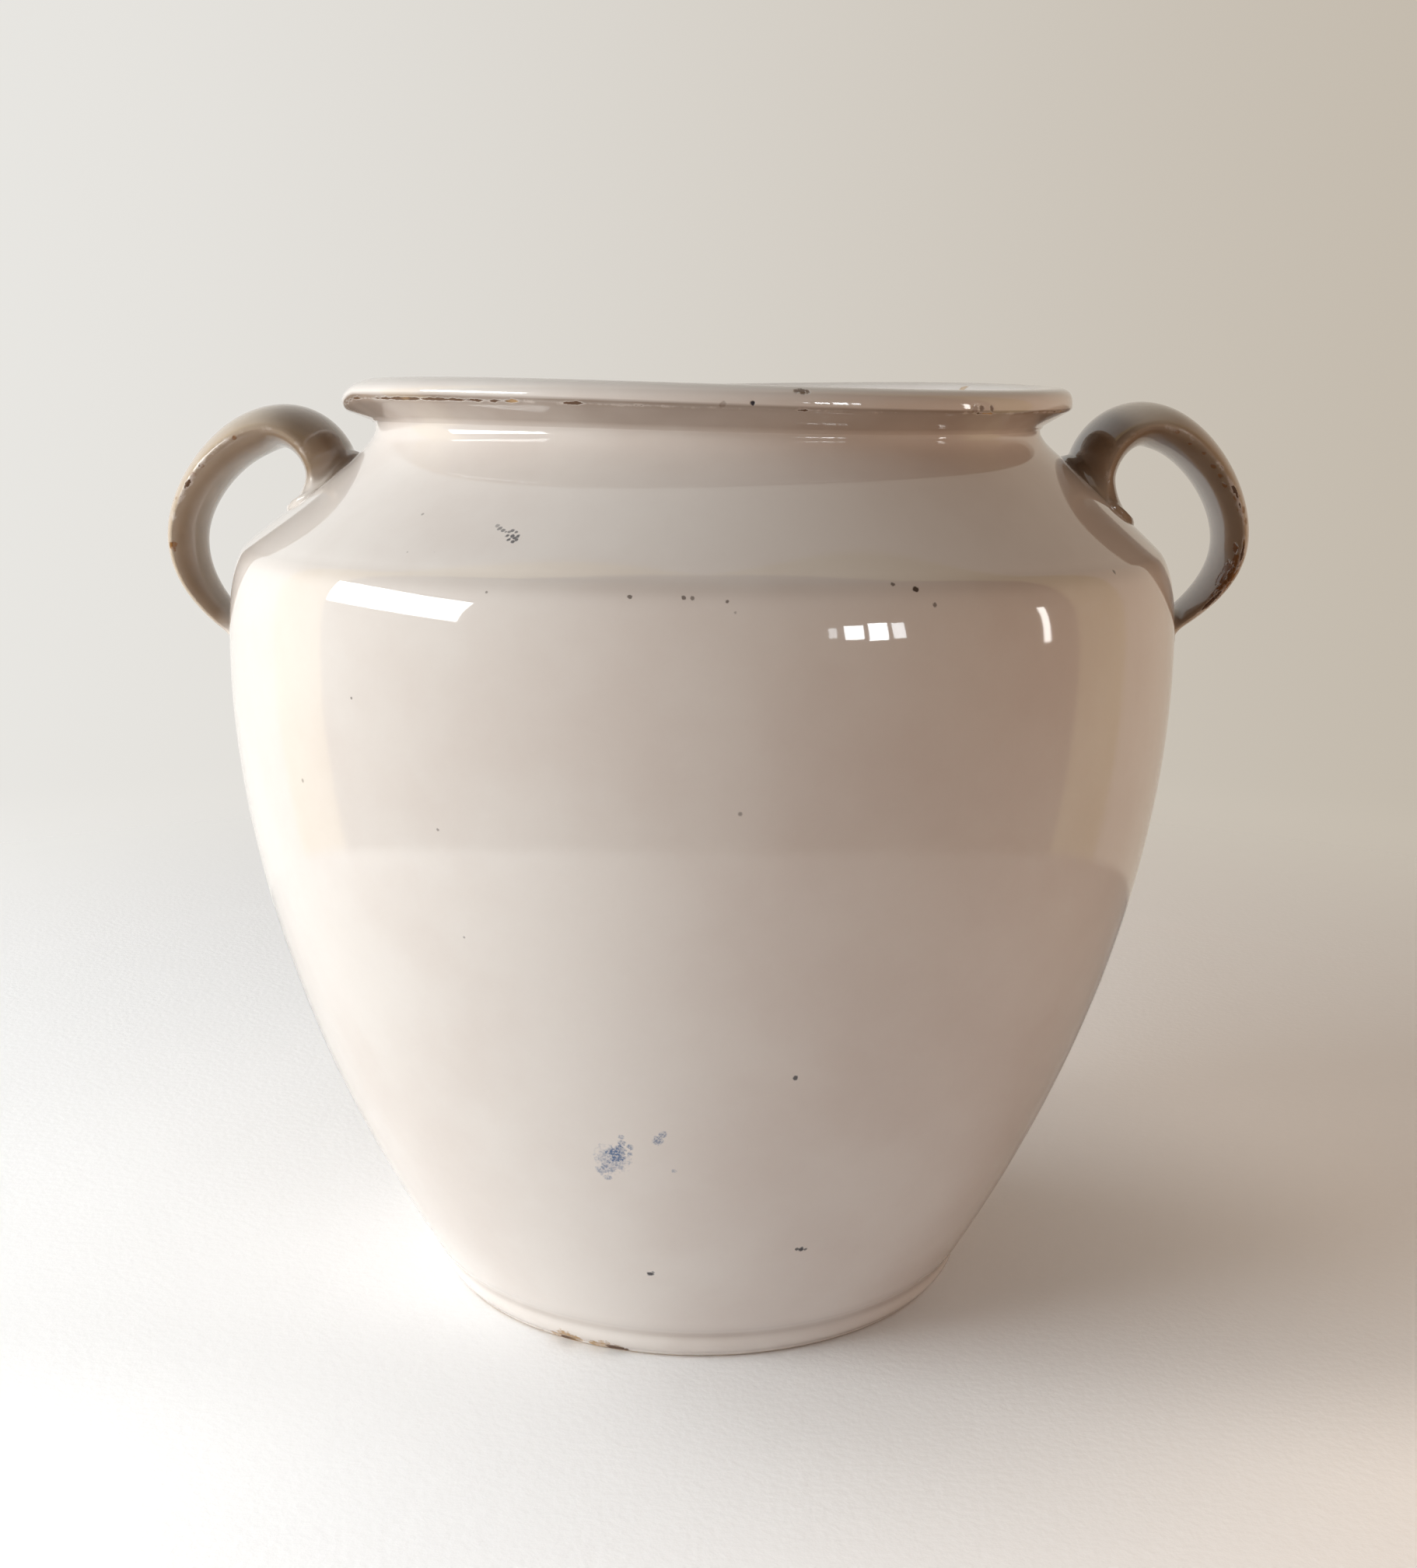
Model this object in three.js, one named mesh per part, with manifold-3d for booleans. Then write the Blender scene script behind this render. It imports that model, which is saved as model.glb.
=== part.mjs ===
// A large two-handled pot of white-glazed earthenware. The body is thrown in one piece, with a turned
// foot, a full belly, a sloping shoulder and a rolled lip. Two pulled strap handles are luted to it, and
// fresh clay is pressed round each of their roots.
// Millimetres, +Z up. The origin is the centre of the ring that the pot stands on, the handles lie on X.
import * as THREE from 'three';
import { mergeVertices } from 'three/addons/utils/BufferGeometryUtils.js';
import Module from 'manifold-3d';

// Foot
const footRadius = 75.5;         // outer edge of the ring that touches the table
const footEdgeRound = 1.5;       // worn edge between the standing ring and the foot band
const footBandHeight = 7.5;
const footBandFlare = 3.5;       // how far the band's top stands out past the standing ring
const footCrease = 1.2;          // step from the foot band out to the belly
const footRingWidth = 13;
const recessDepth = 4;           // hollow turned out under the floor
const recessSlope = 3;           // width of the recess's sloping side

// Body
const bellyRadius = 134;
const bellyHeight = 185;         // height of the widest place
const bellyFullness = 1.92;      // 1 is a straight cone, more is rounder
const ridgeInset = 2.4;          // the edge between belly and shoulder lies inside the widest place
const ridgeRise = 27.5;          // from the widest place up to that edge
const ridgeRound = 4;
const shoulderRise = 37;         // from the ridge up to the lip's underside
const coveDepth = 10;            // how far the cove under the neck is drawn in
const neckRadius = 94.2;
const waistRadius = 93.4;        // the neck is a little narrower just below the lip
const waistDrop = 3.5;
const wallThickness = 7;
const floorThickness = 9;
const floorCorner = 16;          // round corner between the wall and the floor inside

// Lip
const lipOverhang = 8.1;         // from the neck to the lip's sharp outer edge
const lipBevel = 4.8;            // height of the sloping underside
const lipRoll = 5.8;             // from the sharp edge up to the highest place
const rollOut = 1;               // the highest place lies outside the neck's radius
const lipInnerDrop = 7;          // how far the roll comes down on the inside
const rimSway = 1.1;             // rise and fall of the warped rim, twice round
const rimTilt = 1;               // and once round, higher at the back
const warpReach = 17;            // how far below the sharp edge the warp fades out

// Strap handles, pulled by hand and no twins. The route runs along the strap's sharp side edges. The limb
// is placed from the neck, and the other places are measured from the ridge: outwards, up, or down.
const handleShapes = {
  left: {
    limbOut: 13,                 // from the neck out to the upright inner limb
    limbRise: 19.5,
    crestOut: 13,                // from the limb out to the highest place
    crestRise: 34.3,
    bowReach: 15.9,              // the place that stands out furthest
    bowRise: 1.8,
    bowRoundness: 0.45,          // of the wide curve from the crest to the bow
    tailDrop: 24,                // where the strap meets the belly
  },
  right: {
    limbOut: 16.8,
    limbRise: 21,
    crestOut: 13.6,
    crestRise: 37.2,
    bowReach: 18,
    bowRise: 4.5,
    bowRoundness: 0.46,
    tailDrop: 20,
  },
};
const curlRoundness = 0.55;      // of the small curl from the limb to the crest
const tailSlant = 12;            // drop of the last curve before the strap enters the belly
const rootDepth = 12;            // how far the strap is pressed home, before it is cut to fit

// Strap sections along the route: share of the route, width, and crown on each face
const strapSections = {
  root: { share: 0, width: 50, outerCrown: 7.7, innerCrown: 4 },
  crest: { share: 0.34, width: 48, outerCrown: 6.3, innerCrown: 6.3 },
  bow: { share: 0.62, width: 37, outerCrown: 5.8, innerCrown: 1 },
  tail: { share: 1, width: 20, outerCrown: 2.2, innerCrown: 0.5 },
};

// Luting clay: radius of the hollow fillet on each side of a root, and the angle in degrees between the
// strap and the pot's surface there
const upperFillets = {
  holeSide: { radius: 17, angle: 130 },
  edgeSide: { radius: 6, angle: 90 },
  backSide: { radius: 3, angle: 50 },
};
const lowerFillets = {
  holeSide: { radius: 2.5, angle: 50 },
  edgeSide: { radius: 4, angle: 90 },
  backSide: { radius: 9, angle: 130 },
};
const lutingReach = 9;           // length of strap under the luting clay, from the pot's surface
const lutingEdge = 0.6;          // thickness of its feathered edge

const seam = 0.3;                // gap between separately made pieces of clay

// Fineness of the round shapes
const turns = 56;                // facets round the body, a multiple of four
const bellySteps = 9;
const curveSteps = 6;
const strapSides = 16;
const strapSteps = 32;
const lutingSteps = 14;
const weldDistance = 1e-4;       // points closer than this are one point

// Tin glaze: white on the body, thinner on the handles, pooled in the joints
const bodyGlaze = { color: 0xe9e4dc, roughness: 0.12, metalness: 0 };
const handleGlaze = { color: 0xe4ddd2, roughness: 0.14, metalness: 0 };
const lutingGlaze = { color: 0xe0d8cc, roughness: 0.16, metalness: 0 };

// Heights and radii that follow from the sizes above
const ridgeRadius = bellyRadius - ridgeInset;
const ridgeHeight = bellyHeight + ridgeRise;
const neckHeight = ridgeHeight + shoulderRise;
const lipRadius = neckRadius + lipOverhang;
const lipEdgeHeight = neckHeight + lipBevel;
const rimRadius = neckRadius + rollOut;
const rimHeight = lipEdgeHeight + lipRoll;

const wasm = await Module();
wasm.setup();

function solidOf(geometry) {
  const bare = geometry.clone();
  bare.deleteAttribute('normal');
  bare.deleteAttribute('uv');
  const merged = mergeVertices(bare, weldDistance);
  const vertProperties = new Float32Array(merged.attributes.position.array);
  const triVerts = new Uint32Array(merged.index.array);
  return new wasm.Manifold(new wasm.Mesh({ numProp: 3, vertProperties, triVerts }));
}

function geometryOf(solid) {
  const mesh = solid.getMesh();
  const geometry = new THREE.BufferGeometry();
  geometry.setAttribute('position', new THREE.BufferAttribute(mesh.vertProperties, 3));
  geometry.setIndex(new THREE.BufferAttribute(mesh.triVerts, 1));
  geometry.computeVertexNormals();
  return geometry;
}

// Outlines are points (radius, height), and they run upwards on the outside of the pot.
function grown(outline, distance) {
  return outline.map((point, i) => {
    const before = outline[Math.max(i - 1, 0)];
    const after = outline[Math.min(i + 1, outline.length - 1)];
    const along = after.clone().sub(before).normalize();
    return new THREE.Vector2(point.x + along.y * distance, point.y - along.x * distance);
  });
}

function distanceTo(outline, point) {
  let nearest = Infinity;
  for (let i = 1; i < outline.length; i += 1) {
    const start = outline[i - 1];
    const side = outline[i].clone().sub(start);
    const share = THREE.MathUtils.clamp(point.clone().sub(start).dot(side) / side.lengthSq(), 0, 1);
    nearest = Math.min(nearest, point.distanceTo(start.clone().addScaledVector(side, share)));
  }
  return nearest;
}

function radiusAt(outline, height) {
  let radius = 0;
  for (let i = 1; i < outline.length; i += 1) {
    const [low, high] = [outline[i - 1], outline[i]];
    if (low.y <= height && height <= high.y && low.y < high.y) {
      const share = (height - low.y) / (high.y - low.y);
      radius = Math.max(radius, THREE.MathUtils.lerp(low.x, high.x, share));
    }
  }
  return radius;
}

// Height at which the shoulder narrows to a radius
function shoulderHeightAt(outline, radius) {
  const above = outline.findIndex((point) => point.y > bellyHeight && point.x < radius);
  const [low, high] = [outline[above - 1], outline[above]];
  return THREE.MathUtils.mapLinear(radius, low.x, high.x, low.y, high.y);
}

// Foot band, from the standing ring up to the crease
function footOutline() {
  const band = new THREE.Path();
  const bandTop = footRadius + footBandFlare;
  band.moveTo(footRadius - footEdgeRound, 0);
  band.quadraticCurveTo(footRadius, 0, footRadius + footEdgeRound / 2, footEdgeRound);
  band.quadraticCurveTo(bandTop, footBandHeight / 2, bandTop, footBandHeight);
  return band.getPoints(curveSteps / 2);
}

function bellyOutline() {
  const start = new THREE.Vector2(footRadius + footBandFlare + footCrease, footBandHeight + footCrease);
  const points = [];
  for (let i = 0; i < bellySteps; i += 1) {
    const share = i / bellySteps;
    const fullness = 1 - (1 - share) ** bellyFullness;
    const radius = THREE.MathUtils.lerp(start.x, bellyRadius, fullness);
    points.push(new THREE.Vector2(radius, THREE.MathUtils.lerp(start.y, bellyHeight, share)));
  }
  return points;
}

// From the widest place over the ridge and along the shoulder to the neck
function shoulderOutline() {
  const shoulder = new THREE.Path();
  const slope = new THREE.Vector2(neckRadius - ridgeRadius, neckHeight - ridgeHeight).normalize();
  const ridge = new THREE.Vector2(ridgeRadius, ridgeHeight);
  const slopeStart = slope.clone().multiplyScalar(ridgeRound).add(ridge);
  const waistHeight = neckHeight - waistDrop;
  shoulder.moveTo(bellyRadius, bellyHeight);
  shoulder.quadraticCurveTo(bellyRadius, ridgeHeight - 2 * ridgeRound, ridgeRadius, ridgeHeight - ridgeRound);
  shoulder.quadraticCurveTo(ridgeRadius, ridgeHeight, slopeStart.x, slopeStart.y);
  shoulder.bezierCurveTo(
    slopeStart.x + slope.x * coveDepth, slopeStart.y + slope.y * coveDepth,
    waistRadius, waistHeight - coveDepth,
    waistRadius, waistHeight,
  );
  shoulder.lineTo(neckRadius, neckHeight);
  return shoulder.getPoints(curveSteps);
}

// The lip's underside, its outer edge and the outer half of its rolled top
function lipOutline() {
  const lip = new THREE.Path();
  lip.absellipse(rimRadius, lipEdgeHeight, lipRadius - rimRadius, lipRoll, 0, Math.PI / 2, false);
  return lip.getPoints(curveSteps / 2);
}

const outside = [...footOutline(), ...bellyOutline(), ...shoulderOutline(), ...lipOutline()];

// The wall inside is the outside set in by the wall's thickness, as far as it stays clear of the floor.
// Where the outside curves so tightly that the inset points cross over, they come too near it and go.
function insideOutline() {
  const mouthRadius = neckRadius - wallThickness;
  const floorHeight = recessDepth + floorThickness;
  const upToNeck = [...bellyOutline(), ...shoulderOutline()];
  const leastWall = 0.97 * wallThickness;
  const wall = grown(upToNeck, -wallThickness).filter(
    (point) => distanceTo(upToNeck, point) > leastWall && point.y > floorHeight + floorCorner,
  );
  const roll = new THREE.Path();
  const rollWidth = rimRadius - mouthRadius;
  const rollFoot = rimHeight - lipInnerDrop;
  roll.absellipse(rimRadius, rollFoot, rollWidth, lipInnerDrop, Math.PI / 2, Math.PI, false);
  const corner = new THREE.Path();
  const foot = wall[0];
  corner.moveTo(foot.x, foot.y);
  corner.quadraticCurveTo(foot.x - floorCorner / 2, floorHeight, foot.x - floorCorner * 1.5, floorHeight);
  return [
    ...roll.getPoints(curveSteps / 2).slice(1),
    ...wall.slice(1).reverse(),
    ...corner.getPoints(curveSteps),
    new THREE.Vector2(0, floorHeight),
  ];
}

function turned(outline) {
  return new THREE.LatheGeometry(outline, turns).rotateX(Math.PI / 2);
}

// The rim warped a little in drying: it rises and falls twice on the way round and leans to the front.
function warped(geometry) {
  const place = geometry.attributes.position;
  for (let i = 0; i < place.count; i += 1) {
    const angle = Math.atan2(place.getY(i), place.getX(i));
    const share = THREE.MathUtils.smoothstep(place.getZ(i), lipEdgeHeight - warpReach, lipEdgeHeight);
    const rise = rimSway * Math.sin(2 * angle) + rimTilt * Math.sin(angle);
    place.setZ(i, place.getZ(i) + share * rise);
  }
  return geometry;
}

function bodySolid() {
  const recessRadius = footRadius - footRingWidth;
  const underside = [
    new THREE.Vector2(0, recessDepth),
    new THREE.Vector2(recessRadius - recessSlope, recessDepth),
    new THREE.Vector2(recessRadius, 0),
  ];
  return solidOf(warped(turned([...underside, ...outside, ...insideOutline()])));
}

// Everything that lies within a seam of the pot's outside, as one solid of revolution
function bodyClearance() {
  const skin = grown(outside, seam);
  const base = new THREE.Vector2(0, skin[0].y);
  const top = new THREE.Vector2(0, skin[skin.length - 1].y);
  return solidOf(turned([base, ...skin, top]));
}

// The strap's route in the plane of the handle: up the inner limb, over the crest, down the bow and in.
function strapRoute(shape) {
  const limb = neckRadius + shape.limbOut;
  const limbTop = ridgeHeight + shape.limbRise;
  const crest = new THREE.Vector2(limb + shape.crestOut, ridgeHeight + shape.crestRise);
  const bow = new THREE.Vector2(ridgeRadius + shape.bowReach, ridgeHeight + shape.bowRise);
  const tailHeight = ridgeHeight - shape.tailDrop;
  const tail = new THREE.Vector2(radiusAt(outside, tailHeight), tailHeight);
  const turn = new THREE.Vector2(bow.x, tailHeight + tailSlant);
  const inward = tail.clone().sub(turn).normalize().multiplyScalar(rootDepth).add(tail);
  const route = new THREE.Path();
  route.moveTo(limb, shoulderHeightAt(outside, limb) - rootDepth);
  route.lineTo(limb, limbTop);
  route.bezierCurveTo(
    limb, limbTop + curlRoundness * (crest.y - limbTop),
    crest.x - curlRoundness * shape.crestOut, crest.y,
    crest.x, crest.y,
  );
  route.bezierCurveTo(
    crest.x + shape.bowRoundness * (bow.x - crest.x), crest.y,
    bow.x, bow.y + shape.bowRoundness * (crest.y - bow.y),
    bow.x, bow.y,
  );
  route.quadraticCurveTo(turn.x, turn.y, tail.x, tail.y);
  route.lineTo(inward.x, inward.y);
  return route;
}

function sectionAt(share) {
  const sections = Object.values(strapSections);
  const next = Math.max(sections.findIndex((section) => section.share >= share), 1);
  const [low, high] = [sections[next - 1], sections[next]];
  const part = (share - low.share) / (high.share - low.share);
  const between = (name) => THREE.MathUtils.lerp(low[name], high[name], part);
  return { halfWidth: between('width') / 2, outer: between('outerCrown'), inner: between('innerCrown') };
}

// A round bar bent along the route and pressed to the strap's section. swell(direction, point) thickens it.
function bentBar(route, start, end, steps, swell) {
  const bar = new THREE.CylinderGeometry(1, 1, 1, strapSides, steps);
  const place = bar.attributes.position;
  for (let i = 0; i < place.count; i += 1) {
    const share = THREE.MathUtils.lerp(start, end, place.getY(i) + 0.5);
    const spot = route.getPoint(share);
    const ahead = route.getTangent(share);
    const { halfWidth, outer, inner } = sectionAt(share);
    const [across, out] = [place.getX(i), place.getZ(i)];
    const onRim = Math.hypot(across, out) > 0.5;
    const direction = Math.atan2(out, across);
    const crown = out > 0 ? outer : inner;
    const bare = strapPoint(spot, ahead, across * halfWidth, out * crown);
    const more = onRim ? swell(direction, bare) : 0;
    const point = strapPoint(
      spot, ahead,
      across * halfWidth + more * Math.cos(direction),
      out * crown + more * Math.sin(direction),
    );
    place.setXYZ(i, point.x, point.y, point.z);
  }
  return bar;
}

// across runs along -Y, and out leaves the loop on its outer side
function strapPoint(spot, ahead, across, out) {
  return new THREE.Vector3(spot.x - ahead.y * out, -across, spot.y + ahead.x * out);
}

// How far the luting clay swells at a place: a hollow fillet between the strap and the pot's surface
function filletSwell(fillets, direction, point) {
  const edge = fillets.edgeSide;
  const side = Math.sin(direction) > 0 ? fillets.backSide : fillets.holeSide;
  const radius = THREE.MathUtils.lerp(edge.radius, side.radius, Math.sin(direction) ** 2);
  const degrees = THREE.MathUtils.lerp(edge.angle, side.angle, Math.sin(direction) ** 2);
  const angle = THREE.MathUtils.degToRad(degrees);
  const flat = new THREE.Vector2(Math.hypot(point.x, point.y), point.z);
  const inWall = flat.x < radiusAt(outside, flat.y);
  const upStrap = distanceTo(outside, flat) / Math.sin(angle) * (inWall ? -1 : 1);
  const reach = radius / Math.tan(angle / 2);
  const touch = degrees > 90 ? radius * Math.sin(angle) : radius;
  const within = THREE.MathUtils.clamp(reach - upStrap, 0, touch);
  return radius - Math.sqrt(radius ** 2 - within ** 2);
}

function handleSolid(route) {
  return solidOf(bentBar(route, 0, 1, strapSteps, () => 0)).subtract(clearance);
}

function lutingSolid(route, atTail, fillets) {
  const share = (rootDepth + lutingReach) / route.getLength();
  const [start, end] = atTail ? [1 - share, 1] : [0, share];
  const swollen = bentBar(route, start, end, lutingSteps, (direction, point) => {
    return seam + lutingEdge + filletSwell(fillets, direction, point);
  });
  const strapRoom = bentBar(route, 0, 1, strapSteps, () => seam);
  return solidOf(swollen).subtract(solidOf(strapRoom)).subtract(clearance);
}

const pot = new THREE.Group();
const clearance = bodyClearance();

function addPiece(name, solid, glaze, turn = 0) {
  const mesh = new THREE.Mesh(geometryOf(solid), new THREE.MeshStandardMaterial(glaze));
  mesh.name = name;
  mesh.rotation.z = turn;
  pot.add(mesh);
}

addPiece('body', bodySolid(), bodyGlaze);
for (const [side, turn] of [['right', 0], ['left', Math.PI]]) {
  const route = strapRoute(handleShapes[side]);
  const upperLuting = lutingSolid(route, false, upperFillets);
  const lowerLuting = lutingSolid(route, true, lowerFillets);
  addPiece(`handle_${side}`, handleSolid(route), handleGlaze, turn);
  addPiece(`luting_upper_${side}`, upperLuting, lutingGlaze, turn);
  addPiece(`luting_lower_${side}`, lowerLuting, lutingGlaze, turn);
}

export default pot;
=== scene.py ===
"""Dresses the packed solids of a large two-handled pot: a finely turned body with a worn lip and foot,
two pulled straps that flare into it, the glaze with its chips and stains, and a plain pale studio."""
import math

import bpy
import numpy as np
from mathutils import Matrix, Vector, noise


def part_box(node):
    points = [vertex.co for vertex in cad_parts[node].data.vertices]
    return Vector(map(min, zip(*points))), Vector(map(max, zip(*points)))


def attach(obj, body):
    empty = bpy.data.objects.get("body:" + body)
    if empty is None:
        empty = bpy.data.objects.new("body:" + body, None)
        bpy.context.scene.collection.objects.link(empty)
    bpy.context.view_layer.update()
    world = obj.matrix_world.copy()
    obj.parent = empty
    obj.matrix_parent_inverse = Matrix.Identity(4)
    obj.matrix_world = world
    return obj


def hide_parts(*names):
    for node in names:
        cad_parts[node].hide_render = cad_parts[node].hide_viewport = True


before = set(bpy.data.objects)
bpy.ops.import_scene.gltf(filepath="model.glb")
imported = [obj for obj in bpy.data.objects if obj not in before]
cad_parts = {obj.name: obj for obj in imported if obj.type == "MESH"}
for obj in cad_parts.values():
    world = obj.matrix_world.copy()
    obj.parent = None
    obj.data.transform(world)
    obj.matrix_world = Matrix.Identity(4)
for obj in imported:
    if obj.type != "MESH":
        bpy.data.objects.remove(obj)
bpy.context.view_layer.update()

bl_info = {
    "name": "Glazed storage pot",
    "version": (1, 0, 0),
    "blender": (4, 5, 0),
    "location": "View3D > Sidebar > Pot",
    "description": "Turns the pot, pulls its straps, glazes them and sets up a plain studio",
    "category": "Add Mesh",
}

_, BODY_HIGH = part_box("body")
MM = 0.001

# Fineness of the meshes
AROUND = 260            # facets round the body, a multiple of four
BELLY_STEPS = 70
CURVE_STEPS = 14
STRAP_AROUND = 72
STRAP_ALONG = 150
ROUTE_STEPS = 200       # steps of each curve in a strap's route
ROUTE_ROUNDS = 60       # how often that route is evened out
SECTION_ROUNDS = 400    # how often a strap's width and crowns are


def number(name, description, default, **kind):
    """A number that the panel shows, with its unit or subtype"""
    return bpy.props.FloatProperty(name=name, description=description, default=default, **kind)


def length(name, description, default):
    return number(name, description, default, unit="LENGTH", precision=4)


def factor(name, description, default):
    return number(name, description, default, min=0, precision=3)


def degrees(name, description, default):
    return number(name, description, math.radians(default), subtype="ANGLE")


def power(name, description, default):
    return number(name, description, default, unit="POWER")


def colour(name, description, default):
    return bpy.props.FloatVectorProperty(
        name=name, description=description, default=default, size=3, subtype="COLOR", min=0, max=1)


class BodySizes(bpy.types.PropertyGroup):
    """Sizes of the thrown body. Most are the part's own. The rest shape what shows close up."""
    foot_radius: length("Foot radius", "Outer edge of the ring that touches the table", 75.5 * MM)
    foot_edge_round: length("Foot edge", "Worn edge between the standing ring and the foot band", 1.5 * MM)
    foot_band_height: length("Foot band height", "Height of the band round the foot", 7.5 * MM)
    foot_band_flare: length("Foot band flare", "How far the band's top stands out", 3.5 * MM)
    foot_crease: length("Foot crease", "Step from the foot band out to the belly", 1.2 * MM)
    foot_ring_width: length("Foot ring width", "Width of the ring that touches the table", 13 * MM)
    recess_depth: length("Recess depth", "Hollow turned out under the floor", 4 * MM)
    recess_slope: length("Recess slope", "Width of the recess's sloping side", 3 * MM)
    belly_radius: length("Belly radius", "Radius of the widest place", BODY_HIGH[0])
    belly_height: length("Belly height", "Height of the widest place", 185 * MM)
    belly_fullness: factor("Belly fullness", "1 is a straight cone, more is rounder", 1.92)
    ridge_inset: length("Ridge inset", "The ridge lies this far inside the widest place", 2.4 * MM)
    ridge_rise: length("Ridge rise", "From the widest place up to the ridge", 27.5 * MM)
    ridge_round: length("Ridge round", "Softness of the ridge", 2.6 * MM)
    ridge_lean: factor("Ridge lean", "How the belly leans in where it meets the ridge", 0.34)
    shoulder_rise: length("Shoulder rise", "From the ridge up to the lip's underside", 37 * MM)
    cove_depth: length("Cove depth", "How far the cove under the neck is drawn in", 10 * MM)
    neck_radius: length("Neck radius", "Radius at the lip's underside", 94.2 * MM)
    neck_lean: length("Neck lean", "The neck stands off centre by this much", 2.2 * MM)
    waist_radius: length("Waist radius", "Narrowest place of the neck", 93.4 * MM)
    waist_drop: length("Waist drop", "From the lip's underside down to it", 2.2 * MM)
    waist_slope: factor("Waist slope", "How the cove still leans where it turns into the waist", 0.6)
    waist_turn: length("Waist turn", "Height of that turn", 2.2 * MM)
    wall: length("Wall", "Thickness of the wall", 7 * MM)
    floor: length("Floor", "Thickness of the floor", 9 * MM)
    floor_corner: length("Floor corner", "Round corner between wall and floor inside", 16 * MM)
    lip_overhang: length("Lip overhang", "From the neck to the lip's edge", 8.1 * MM)
    lip_bevel: length("Lip bevel", "Height of the lip's sloping underside", 4.8 * MM)
    lip_roll: length("Lip roll", "From the lip's edge up to its highest place", 5.79 * MM)
    lip_edge: length("Lip edge", "Softness of the lip's edge and of the crease under it", 0.8 * MM)
    lip_bluntness: factor("Lip bluntness", "How much rounder the lip's edge is over the left handle", 1.8)
    lip_inner_drop: length("Lip inner drop", "How far the roll comes down inside", 7 * MM)
    lip_sag: length("Lip sag", "The lip hangs down this much over the left handle", 2.6 * MM)
    rim_sway: length("Rim sway", "Rise and fall of the warped rim, twice round", 1.1 * MM)
    rim_tilt: length("Rim tilt", "The same once round, higher at the back", 1 * MM)
    warp_reach: length("Warp reach", "How far below the lip the warp fades out", 17 * MM)
    unevenness: length("Unevenness", "Depth of the hollows that the hand left in the wall", 0.3 * MM)


def strap_sizes(limb_inset, limb_rise, crest_out, crest_rise, bow_reach, bow_rise, roundness, tail_drop):
    """The sizes of one strap, measured from the ridge. Both straps have the same list."""
    return {
        "limb_inset": length("Limb inset", "The upright inner limb, inwards from the ridge", limb_inset * MM),
        "limb_rise": length("Limb rise", "Top of the straight limb", limb_rise * MM),
        "crest_out": length("Crest out", "From the limb out to the highest place", crest_out * MM),
        "crest_rise": length("Crest rise", "The highest place", crest_rise * MM),
        "bow_reach": length("Bow reach", "The place that stands out furthest", bow_reach * MM),
        "bow_rise": length("Bow rise", "Height of that place", bow_rise * MM),
        "roundness": factor("Roundness", "Of the wide curve from the crest to the bow", roundness),
        "tail_drop": length("Tail drop", "Where the strap meets the belly", tail_drop * MM),
    }


class LeftStrapSizes(bpy.types.PropertyGroup):
    """Sizes of the left strap."""
    __annotations__ = strap_sizes(24.4, 19.5, 13, 34.3, 17.3, 1.8, 0.45, 24)


class RightStrapSizes(bpy.types.PropertyGroup):
    """Sizes of the right strap."""
    __annotations__ = strap_sizes(20.6, 21, 13.6, 37.2, 19.4, 4.5, 0.46, 20)


class GlazeColours(bpy.types.PropertyGroup):
    """Colours of the glaze, of what shows through it and of the marks in it."""
    glaze: colour("Glaze", "Tin glaze where it is thick", (0.87, 0.81, 0.765))
    thin_glaze: colour("Thin glaze", "Where the clay warms it", (0.81, 0.73, 0.68))
    strap_glaze: colour("Strap glaze", "The thinner glaze of the straps", (0.60, 0.49, 0.385))
    thin_strap_glaze: colour("Thin strap glaze", "Where that is thinner still", (0.44, 0.33, 0.225))
    # The stain colour darkens thin glaze, and also paints shade under the lip and on the straps' faces
    # towards the neck and inside the loops
    stain_and_shade: colour("Stain", "Where the glaze hardly covers the clay", (0.18, 0.105, 0.055))
    clay: colour("Clay", "Fired clay in a fresh chip", (0.56, 0.35, 0.16))
    worn_clay: colour("Worn clay", "Clay that shows through a worn strap", (0.27, 0.12, 0.035))
    old_clay: colour("Old clay", "Stained clay in an old chip", (0.13, 0.062, 0.028))
    iron: colour("Iron", "Specks of iron", (0.10, 0.07, 0.055))
    cobalt: colour("Cobalt", "Smudge of blue", (0.10, 0.17, 0.33))
    soot: colour("Soot", "Mark left on the shoulder in the kiln", (0.045, 0.04, 0.05))


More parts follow.
